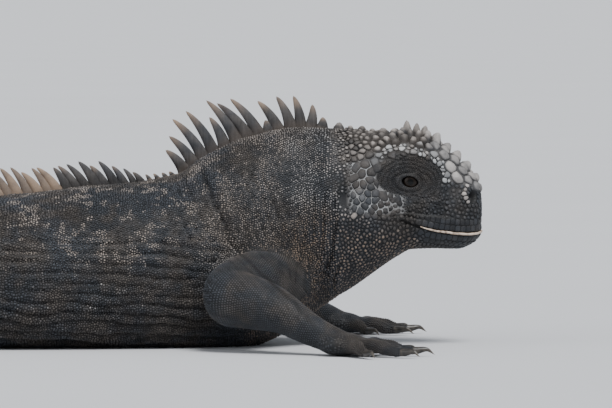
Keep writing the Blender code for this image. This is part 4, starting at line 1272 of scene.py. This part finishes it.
def ranged(tree, value, low, high, to_low=0.0, to_high=1.0):
    """A value eased from one range to another."""
    inputs = {"Value": value, "From Min": low, "From Max": high, "To Min": to_low, "To Max": to_high}
    return node(tree, "ShaderNodeMapRange", inputs, interpolation_type="SMOOTHSTEP").outputs[0]


def group_of(name, inputs, outputs):
    """A new shader node group with its sockets, and the nodes at its two ends."""
    tree = bpy.data.node_groups.new(name, "ShaderNodeTree")
    for key, kind in inputs:
        tree.interface.new_socket(key, in_out="INPUT", socket_type=kind)
    for key, kind in outputs:
        tree.interface.new_socket(key, in_out="OUTPUT", socket_type=kind)
    return tree, tree.nodes.new("NodeGroupInput"), tree.nodes.new("NodeGroupOutput")


def marking_group():
    """The markings that the skin, its scales and its spines share."""
    if "iguana_markings" in bpy.data.node_groups:
        return bpy.data.node_groups["iguana_markings"]
    number, colour = "NodeSocketFloat", "NodeSocketColor"
    inputs = [("Tone", number), ("Tip", number), ("Pale Tip", number), ("Pale Edge", number), ("Dark", number)]
    inputs += [("Warm", number)]
    inputs += [("Slate", colour), ("Brown", colour), ("Pale", colour), ("Streak", number)]
    tree, start, end = group_of("iguana_markings", inputs, [("Color", colour), ("Roughness", number), ("Height", number)])
    take = start.outputs
    place = node(tree, "ShaderNodeTexCoord").outputs["Object"]
    broad = node(tree, "ShaderNodeTexNoise", {"Vector": place, "Scale": 34.0, "Detail": 4.0, "Roughness": 0.6}).outputs[0]
    spots = node(tree, "ShaderNodeTexNoise", {"Vector": place, "Scale": 150.0, "Detail": 3.0}).outputs[0]
    fine = node(tree, "ShaderNodeTexNoise", {"Vector": place, "Scale": 1500.0, "Detail": 3.0, "Roughness": 0.65}).outputs[0]
    tall = node(tree, "ShaderNodeMapping", {"Vector": place, "Scale": (1100.0, 1100.0, 130.0)}).outputs[0]
    streaks = node(tree, "ShaderNodeTexNoise", {"Vector": tall, "Scale": 1.0, "Detail": 3.0}).outputs[0]
    warm = ranged(tree, maths(tree, "ADD", broad, maths(tree, "MULTIPLY", spots, 0.35)), 0.55, 0.82)
    base = blended(tree, warm, take["Slate"], take["Brown"])
    bright = maths(tree, "MULTIPLY_ADD", take["Tone"], 0.75)
    bright.node.inputs[2].default_value = 0.62
    # Painted shade and highlight: each scale and spine is darkened at its foot and lightened towards its top, by its
    # height share Tip.
    bright = maths(tree, "MULTIPLY", bright, ranged(tree, take["Tip"], 0.0, 0.7, 0.55, 1.15))
    bright = maths(tree, "MULTIPLY", bright, ranged(tree, spots, 0.3, 0.7, 0.8, 1.2))
    # Dark holds the own dark colour of the mask, lids and lips, and also painted shade in fold valleys and the
    # nostril, with painted light on fold ridges where it falls below 0.
    bright = maths(tree, "MULTIPLY", bright, maths(tree, "SUBTRACT", 1.0, maths(tree, "MULTIPLY", take["Dark"], 0.45)))
    streak = maths(tree, "MULTIPLY", maths(tree, "SUBTRACT", streaks, 0.5), take["Streak"])
    bright = maths(tree, "ADD", bright, streak)
    grey = node(tree, "ShaderNodeCombineColor", {0: bright, 1: bright, 2: bright}).outputs[0]
    base = blended(tree, 1.0, base, grey, "MULTIPLY")
    chance = maths(tree, "SUBTRACT", maths(tree, "ADD", take["Tone"], take["Pale Tip"]), 1.0)
    chance = maths(tree, "MULTIPLY", chance, 2.2, clamp=True)
    chance = maths(tree, "ADD", chance, maths(tree, "MULTIPLY", take["Pale Tip"], 0.22), clamp=True)
    more = maths(tree, "SUBTRACT", take["Pale Tip"], 1.0, clamp=True)
    start_at = maths(tree, "SUBTRACT", 0.5, maths(tree, "MULTIPLY", more, 0.7))
    at_tip = maths(tree, "MULTIPLY", chance, ranged(tree, take["Tip"], start_at, maths(tree, "ADD", start_at, 0.5)))
    at_tip = maths(tree, "MULTIPLY", at_tip, ranged(tree, spots, 0.25, 0.6, 0.55, 0.95))
    chosen = maths(tree, "FRACT", maths(tree, "MULTIPLY", take["Tone"], 9.7))
    at_tip = maths(tree, "MULTIPLY", at_tip, ranged(tree, chosen, 0.0, 1.0, 0.45, 1.0))
    at_edge = maths(tree, "MULTIPLY", take["Pale Edge"], ranged(tree, take["Tip"], 0.05, 0.35, 1.0, 0.0))
    pale = maths(tree, "MAXIMUM", at_tip, maths(tree, "MULTIPLY", at_edge, 0.72))
    shade = blended(tree, take["Warm"], take["Pale"], (0.3, 0.2, 0.13, 1.0))
    shade = blended(tree, maths(tree, "MULTIPLY", fine, 0.45), shade, (0.14, 0.12, 0.1, 1.0))
    tree.links.new(blended(tree, pale, base, shade), end.inputs["Color"])
    tree.links.new(ranged(tree, fine, 0.3, 0.7, 0.5, 0.72), end.inputs["Roughness"])
    tree.links.new(maths(tree, "ADD", fine, maths(tree, "MULTIPLY", streaks, take["Streak"])), end.inputs["Height"])
    return tree


def new_material(name):
    """An empty material with its shader."""
    material = bpy.data.materials.new(name)
    material.use_nodes = True
    return material, material.node_tree, material.node_tree.nodes["Principled BSDF"]


def marked_material(name, slate, brown, pale, streak=0.0, bump=0.25, grain=0.0003):
    """A dry, scaly surface with the shared markings in its own colours."""
    if name in bpy.data.materials:
        return bpy.data.materials[name]
    material, tree, shader = new_material(name)
    keys = (("Tone", "tone"), ("Tip", "tip"), ("Pale Tip", "pale_tip"), ("Pale Edge", "pale_edge"), ("Dark", "dark"))
    keys += (("Warm", "warm"),)
    inputs = {key: node(tree, "ShaderNodeAttribute", attribute_name=kept).outputs["Fac"] for key, kept in keys}
    made = node(tree, "ShaderNodeGroup", node_tree=marking_group())
    inputs.update({"Slate": (*slate, 1.0), "Brown": (*brown, 1.0), "Pale": (*pale, 1.0), "Streak": streak})
    for key, value in inputs.items():
        if isinstance(value, bpy.types.NodeSocket):
            tree.links.new(value, made.inputs[key])
        else:
            made.inputs[key].default_value = value
    tree.links.new(made.outputs["Color"], shader.inputs["Base Color"])
    tree.links.new(made.outputs["Roughness"], shader.inputs["Roughness"])
    relief = node(tree, "ShaderNodeBump", {"Height": made.outputs["Height"], "Strength": bump, "Distance": grain})
    tree.links.new(relief.outputs[0], shader.inputs["Normal"])
    shader.inputs["Specular IOR Level"].default_value = 0.3
    return material


def skin_finish():
    """The finish of the skin and its scales."""
    colours = SETTINGS()
    return marked_material("iguana_skin", colours.slate, colours.brown, colours.pale)


def crest_finish():
    """The dry, ribbed horn of the spines."""
    colours = SETTINGS()
    return marked_material("crest_horn", (0.034, 0.036, 0.041), (0.05, 0.046, 0.044), colours.spine_tip, 1.3, 0.5)


def claw_finish():
    """Smooth dark horn, paler and worn towards the point."""
    material, tree, shader = new_material("claw_horn")
    place = node(tree, "ShaderNodeTexCoord").outputs["Object"]
    tip = node(tree, "ShaderNodeAttribute", attribute_name="tip").outputs["Fac"]
    bands = node(tree, "ShaderNodeTexNoise", {"Vector": place, "Scale": 500.0, "Detail": 4.0}).outputs[0]
    base = blended(tree, ranged(tree, bands, 0.35, 0.7), (0.012, 0.011, 0.01, 1.0), (0.05, 0.042, 0.034, 1.0))
    worn = maths(tree, "MULTIPLY", ranged(tree, tip, 0.55, 1.0), 0.5)
    tree.links.new(blended(tree, worn, base, (0.16, 0.13, 0.1, 1.0)), shader.inputs["Base Color"])
    tree.links.new(ranged(tree, bands, 0.3, 0.7, 0.28, 0.48), shader.inputs["Roughness"])
    relief = node(tree, "ShaderNodeBump", {"Height": bands, "Strength": 0.3, "Distance": 0.0002})
    tree.links.new(relief.outputs[0], shader.inputs["Normal"])
    return material


def lip_finish():
    """The pale, dry edge of the lip."""
    material, tree, shader = new_material("lip_edge")
    place = node(tree, "ShaderNodeTexCoord").outputs["Object"]
    spots = node(tree, "ShaderNodeTexNoise", {"Vector": place, "Scale": 420.0, "Detail": 3.0}).outputs[0]
    colour = (*SETTINGS().lip, 1.0)
    shade = blended(tree, ranged(tree, spots, 0.4, 0.75), colour, (0.2, 0.14, 0.1, 1.0))
    tree.links.new(shade, shader.inputs["Base Color"])
    tree.links.new(ranged(tree, spots, 0.3, 0.7, 0.45, 0.65), shader.inputs["Roughness"])
    relief = node(tree, "ShaderNodeBump", {"Height": spots, "Strength": 0.4, "Distance": 0.0002})
    tree.links.new(relief.outputs[0], shader.inputs["Normal"])
    return material


def eye_finish():
    """A wet dark eye: round pupil, brown iris with fine rays, dark outside."""
    if "eye_wet" in bpy.data.materials:
        return bpy.data.materials["eye_wet"]
    material, tree, shader = new_material("eye_wet")
    place = node(tree, "ShaderNodeTexCoord").outputs["Object"]
    parts = node(tree, "ShaderNodeSeparateXYZ", {0: place})
    x = maths(tree, "SUBTRACT", parts.outputs[0], (EYE_CENTRE[0] + 0.3) * MM)
    z = maths(tree, "SUBTRACT", parts.outputs[2], EYE_CENTRE[2] * MM)
    away = maths(tree, "SQRT", maths(tree, "ADD", maths(tree, "MULTIPLY", x, x), maths(tree, "MULTIPLY", z, z)))
    rays = node(tree, "ShaderNodeTexNoise", {"Vector": place, "Scale": 1300.0, "Detail": 4.0}).outputs[0]
    iris = blended(tree, ranged(tree, rays, 0.35, 0.7), (0.008, 0.005, 0.004, 1.0), (*SETTINGS().iris, 1.0))
    seen = blended(tree, ranged(tree, away, 0.0013, 0.00155), (0.002, 0.002, 0.002, 1.0), iris)
    seen = blended(tree, ranged(tree, away, 0.0029, 0.0033), seen, (0.005, 0.004, 0.004, 1.0))
    tree.links.new(seen, shader.inputs["Base Color"])
    tree.links.new(ranged(tree, rays, 0.3, 0.7, 0.08, 0.16), shader.inputs["Roughness"])
    shader.inputs["Specular IOR Level"].default_value = 0.22
    return material


def floor_finish():
    """A plain pale floor with a faint cloudiness."""
    material, tree, shader = new_material("studio_floor")
    place = node(tree, "ShaderNodeTexCoord").outputs["Object"]
    cloud = node(tree, "ShaderNodeTexNoise", {"Vector": place, "Scale": 3.0, "Detail": 2.0}).outputs[0]
    colour = SETTINGS().floor
    low = tuple(value * 0.95 for value in colour)
    tree.links.new(blended(tree, cloud, (*low, 1.0), (*colour, 1.0)), shader.inputs["Base Color"])
    shader.inputs["Roughness"].default_value = 0.8
    return material


def dressed(obj, slot, *nodes):
    """Sets a finished piece on the animal's body, for the nodes that it stands for."""
    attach(obj, "root")
    if nodes:
        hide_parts(*nodes)


def SETTINGS():
    """The sizes and colours that a user may change."""
    return bpy.context.scene.iguana


def skin_object():
    """The finished skin, which every scale sits on."""
    return bpy.data.objects["skin"]


class IguanaSettings(bpy.types.PropertyGroup):
    """Sizes and colours of the iguana and its stage."""

    scale_size: bpy.props.FloatProperty(
        name="Scale size", description="Size of the scales of the body against life", default=1.0, min=0.8, max=2.0
    )
    knob_height: bpy.props.FloatProperty(
        name="Knob height", description="Height of the knobs of the crown against life", default=1.0, min=0.3, max=1.2
    )
    leg_scale: bpy.props.FloatProperty(
        name="Leg scale spacing", description="Spacing of the scales of the legs, in millimetres", default=1.2
    )
    slate: bpy.props.FloatVectorProperty(
        name="Slate", description="Main colour of the skin", subtype="COLOR", default=(0.031, 0.035, 0.042)
    )
    brown: bpy.props.FloatVectorProperty(
        name="Brown", description="Warmer colour that clouds the skin", subtype="COLOR", default=(0.047, 0.041, 0.037)
    )
    pale: bpy.props.FloatVectorProperty(
        name="Pale", description="Colour of the pale tips and edges", subtype="COLOR", default=(0.55, 0.58, 0.6)
    )
    spine_tip: bpy.props.FloatVectorProperty(
        name="Spine tip", description="Colour of the tips of the spines", subtype="COLOR", default=(0.42, 0.31, 0.23)
    )
    lip: bpy.props.FloatVectorProperty(
        name="Lip", description="Colour of the edge of the lip", subtype="COLOR", default=(0.62, 0.5, 0.4)
    )
    iris: bpy.props.FloatVectorProperty(
        name="Iris", description="Lighter colour of the iris", subtype="COLOR", default=(0.014, 0.009, 0.006)
    )
    floor: bpy.props.FloatVectorProperty(
        name="Floor", description="Colour of the floor", subtype="COLOR", default=(0.62, 0.63, 0.65)
    )
    key_strength: bpy.props.FloatProperty(
        name="Key light", description="Strength of the main light", default=3.8, min=0.0
    )


class IGUANA_OT_skin(bpy.types.Operator):
    """Make the one skin that covers the head, body, tail and legs, with lids open over the eyes"""

    bl_idname = "iguana.skin"
    bl_label = "Skin"

    def execute(self, context):
        material = skin_finish()
        points, triangles = shell(skin_rings())
        skin = mesh_object("skin", points, triangles, material)
        body_tree = tree_of(skin)
        legs = []
        for side in (-1, 1):
            legs.append(make_leg(FORE_LIMB, FORE_PALM, FORE_TOES, side, 1.35, material))
            legs.append(make_leg(HIND_LIMB, HIND_PALM, HIND_TOES, side, 1.5, material))
        leg_trees = [tree_of(leg) for leg in legs]
        boolean(skin, "UNION", legs, "MANIFOLD")
        cutters = []
        for side in (-1, 1):
            cutters.append(lid_cutter(side, material))
            cutters.append(eye_ball("socket", side, EYE_RADIUS + EYE_GAP, material))
        boolean(skin, "DIFFERENCE", cutters, "MANIFOLD")
        soften_joins(skin, body_tree, leg_trees)
        select_only(skin)
        bpy.ops.object.mode_set(mode="EDIT")
        bpy.ops.mesh.select_all(action="SELECT")
        bpy.ops.mesh.bisect(plane_co=(0, 0, 0), plane_no=(0, 0, 1), use_fill=True, clear_inner=True, threshold=1e-7)
        bpy.ops.object.mode_set(mode="OBJECT")
        skin.data.materials.clear()
        skin.data.materials.append(material)
        skin.data.shade_smooth()
        spots = np.empty(len(skin.data.vertices) * 3)
        skin.data.vertices.foreach_get("co", spots)
        spots = spots.reshape(-1, 3) / MM
        distance = np.clip(SNOUT_X - spots[:, 0], 0.0, BODY_LENGTH)
        tips, edges, warm = pale_shares(spots, distance)
        mask = mask_share(spots[:, 0], spots[:, 2])
        # Painted shade: the skin is darkened in the hollow of the nostril.
        nostril_painted_shade = np.exp(-(np.hypot((spots[:, 0] - 221.0) / 2.0, (spots[:, 2] - 71.3) / 2.8) ** 4))
        mouth = window(spots[:, 0], MOUTH_LINE[0][0], 240.0, 2.0) * window(spots[:, 2], 45.0, 63.0, 2.0)
        values = {
            "tone": 0.3 + 0.2 * mottle(spots, 3.0, 31),
            "tip": np.full(len(spots), 0.1),
            "pale_tip": 0.2 * tips,
            "pale_edge": edges,
            "warm": warm,
            "dark": np.maximum(0.6, np.maximum(mask * (distance < 60.0), mouth)) + 1.3 * nostril_painted_shade,
        }
        for key, numbers in values.items():
            skin.data.attributes.new(key, "FLOAT", "POINT").data.foreach_set("value", numbers)
        sides = [f"{name}_{side}" for name in LIMB_NODES for side in ("left", "right")]
        dressed(skin, "scaly_skin", *FLESH_NODES, *sides)
        return {"FINISHED"}


class IGUANA_OT_body_scales(bpy.types.Operator):
    """Cover the neck, trunk and tail with scales"""

    bl_idname = "iguana.body_scales"
    bl_label = "Body scales"

    def execute(self, context):
        tree, draw = tree_of(skin_object()), np.random.default_rng(3)
        grain = ((1.0, -0.16), (0.62, 0.8), (0.0, 1.0))
        keeled = ((1.0, -0.2), (0.8, 0.55), (0.0, 1.0))
        crowd = body_seeds(tree, COAT_START, 834.0, draw)
        for name, first, last, profile in (
            ("scales_neck", COAT_START, 108.0, grain),
            ("scales_shoulder", 108.0, 150.0, grain),
            ("scales_trunk", 150.0, 197.0, grain),
            ("scales_flank", 197.0, 245.0, grain),
            ("scales_loin", 245.0, 362.0, grain),
            ("scales_tail", 362.0, 834.0, keeled),
        ):
            seeds = crowd[(crowd[:, 11] >= first) & (crowd[:, 11] < last)]
            seeds[:, 11] = (seeds[:, 11] - first) / (last - first)
            obj = make_scales(name, seeds, 5, profile, skin_finish(), seed=len(name), crowd=crowd)
            dressed(obj, "scaly_skin")
        return {"FINISHED"}


class IGUANA_OT_leg_scales(bpy.types.Operator):
    """Cover the legs and toes with scales"""

    bl_idname = "iguana.leg_scales"
    bl_label = "Leg scales"

    def execute(self, context):
        tree, draw = tree_of(skin_object()), np.random.default_rng(5)
        flat = ((1.0, -0.1), (0.0, 1.0))
        for name, joints, palm, toes in (
            ("scales_fore_legs", FORE_LIMB, FORE_PALM, FORE_TOES),
            ("scales_hind_legs", HIND_LIMB, HIND_PALM, HIND_TOES),
        ):
            seeds = []
            for side in (-1, 1):
                corner = (0.02, 0.27 + 0.24 * side)
                seeds.append(leg_seeds(tree, joints, palm, toes, side, corner, SETTINGS().leg_scale, draw))
            seeds = filled_in(np.concatenate(seeds), name == "scales_fore_legs", SETTINGS().leg_scale, draw)
            obj = make_scales(name, seeds, 6, flat, skin_finish(), seed=9, tones=(0.55, 1.0))
            dressed(obj, "scaly_skin")
        return {"FINISHED"}


class IGUANA_OT_head_scales(bpy.types.Operator):
    """Set the knobs, plates, lid grains and lip scales on the head"""

    bl_idname = "iguana.head_scales"
    bl_label = "Head scales and knobs"

    def execute(self, context):
        skin, draw = skin_object(), np.random.default_rng(11)
        tree = tree_of(skin)
        tall, low, grain = head_seeds(tree, skin, draw)
        crowd = np.concatenate([tall, low, grain])
        knob = ((1.0, -0.5), (0.99, 0.08), (0.83, 0.36), (0.62, 0.66), (0.36, 0.9), (0.0, 1.02))
        plate = ((1.0, -0.3), (0.97, 0.25), (0.84, 0.72), (0.5, 0.97), (0.0, 1.0))
        bead = ((1.0, -0.12), (0.65, 0.75), (0.0, 1.0))
        small = low[:, 9] < 1.0
        for name, seeds, sides, profile, groove, reach, tones, rough in (
            ("head_knobs", tall, 12, knob, 0.97, 1.9, (0.3, 1.0), 0.08),
            ("head_plates", low[~small], 12, plate, 0.95, 2.4, (0.0, 1.0), 0.03),
            ("head_grains", low[small], 6, bead, 0.96, 1.7, (0.0, 1.0), 0.03),
            ("lid_grains", grain, 6, bead, 0.95, 1.5, (0.0, 1.0), 0.05),
        ):
            lies_on = tree if sides == 12 else None
            obj = make_scales(
                name, seeds, sides, profile, skin_finish(), groove, len(name), reach, tones, rough, crowd, lies_on
            )
            dressed(obj, "scaly_skin")
        return {"FINISHED"}


class IGUANA_OT_crest(bpy.types.Operator):
    """Raise the spines of the nape, back and tail"""

    bl_idname = "iguana.crest"
    bl_label = "Crest"

    def execute(self, context):
        draw, material = random.Random(17), crest_finish()
        nape = [(*spine, NAPE_BASE, draw.uniform(0.45, 0.8), 0.12) for spine in NAPE_SPINES]
        dressed(make_crest("crest_nape", nape, material), "scaly_skin")
        dressed(make_crest("crest_back", crest_row(148.0, 361.0, draw), material), "scaly_skin")
        dressed(make_crest("crest_tail", crest_row(364.0, 828.0, draw), material), "scaly_skin")
        return {"FINISHED"}


class IGUANA_OT_eyes(bpy.types.Operator):
    """Set the wet eyeballs behind their lids"""

    bl_idname = "iguana.eyes"
    bl_label = "Eyes"

    def execute(self, context):
        for side, name in ((-1, "right"), (1, "left")):
            dressed(eye_ball(f"eyeball_{name}", side, EYE_RADIUS, eye_finish()), "eye", f"eye_{name}")
        return {"FINISHED"}


class IGUANA_OT_claws(bpy.types.Operator):
    """Put a curved claw on every toe"""

    bl_idname = "iguana.claws"
    bl_label = "Claws"

    def execute(self, context):
        nodes = [f"{foot}_claw_{k}_{side}" for foot in ("hand", "foot") for k in range(1, 6) for side in ("left", "right")]
        dressed(make_claws("claws", claw_finish()), "claw_horn", *nodes)
        return {"FINISHED"}


class IGUANA_OT_lip(bpy.types.Operator):
    """Lay the pale edge of the lip along the mouth"""

    bl_idname = "iguana.lip"
    bl_label = "Edge of the lip"

    def execute(self, context):
        dressed(make_lip_edge("lip_edge", tree_of(skin_object()), lip_finish()), "scaly_skin")
        return {"FINISHED"}


class IGUANA_OT_stage(bpy.types.Operator):
    """Lay the pale floor and set the soft light and the camera"""

    bl_idname = "iguana.stage"
    bl_label = "Stage"

    def execute(self, context):
        bpy.ops.object.select_all(action="DESELECT")
        bpy.ops.mesh.primitive_plane_add(size=160.0, location=(0.0, 0.0, 0.0))
        floor = context.active_object
        floor.name = "studio_floor"
        floor.data.materials.append(floor_finish())
        world = bpy.data.worlds.new("studio")
        world.use_nodes = True
        world.node_tree.nodes["Background"].inputs["Color"].default_value = (0.86, 0.9, 0.96, 1.0)
        world.node_tree.nodes["Background"].inputs["Strength"].default_value = 0.55
        context.scene.world = world
        for name, strength, spread, way in (
            ("key", SETTINGS().key_strength, 24.0, (-0.25, 0.62, -1.0)),
            ("fill", SETTINGS().key_strength * 0.25, 60.0, (0.8, 0.5, -0.35)),
        ):
            bpy.ops.object.light_add(type="SUN", location=(0.0, -1.0, 2.0))
            light = context.active_object
            light.name = f"{name}_light"
            light.rotation_euler = Vector(way).to_track_quat("-Z", "Y").to_euler()
            light.data.energy = strength
            light.data.angle = math.radians(spread)
        aim = Vector((0.1414, 0.0, 0.0674))
        rise, far = math.radians(2.0), 3.0
        bpy.ops.object.camera_add(location=aim + Vector((0.0, -math.cos(rise), math.sin(rise))) * far)
        camera = context.active_object
        camera.name = "camera"
        camera.rotation_euler = (aim - camera.location).to_track_quat("-Z", "Y").to_euler()
        camera.data.sensor_width = 36.0
        camera.data.lens = 369.0
        camera.data.clip_end = 200.0
        context.scene.camera = camera
        return {"FINISHED"}


STEPS = ("skin", "body_scales", "leg_scales", "head_scales", "crest", "eyes", "claws", "lip", "stage")


class IGUANA_PT_panel(bpy.types.Panel):
    """Lists the pieces of the iguana in the order they are made"""

    bl_idname = "IGUANA_PT_panel"
    bl_label = "Marine iguana"
    bl_space_type = "VIEW_3D"
    bl_region_type = "UI"
    bl_category = "Iguana"

    def draw(self, context):
        settings = context.scene.iguana
        for key in IguanaSettings.__annotations__:
            self.layout.prop(settings, key)
        for step in STEPS:
            self.layout.operator(f"iguana.{step}")


CLASSES = (
    IguanaSettings,
    IGUANA_OT_skin,
    IGUANA_OT_body_scales,
    IGUANA_OT_leg_scales,
    IGUANA_OT_head_scales,
    IGUANA_OT_crest,
    IGUANA_OT_eyes,
    IGUANA_OT_claws,
    IGUANA_OT_lip,
    IGUANA_OT_stage,
    IGUANA_PT_panel,
)


def register():
    """Adds the classes and the settings to Blender."""
    for cls in CLASSES:
        bpy.utils.register_class(cls)
    bpy.types.Scene.iguana = bpy.props.PointerProperty(type=IguanaSettings)


def unregister():
    """Takes the classes and the settings away again."""
    del bpy.types.Scene.iguana
    for cls in reversed(CLASSES):
        bpy.utils.unregister_class(cls)


def main():
    """Makes every piece in order."""
    register()
    for step in STEPS:
        getattr(bpy.ops.iguana, step)()
    bpy.context.view_layer.update()


if __name__ == "__main__":
    main()
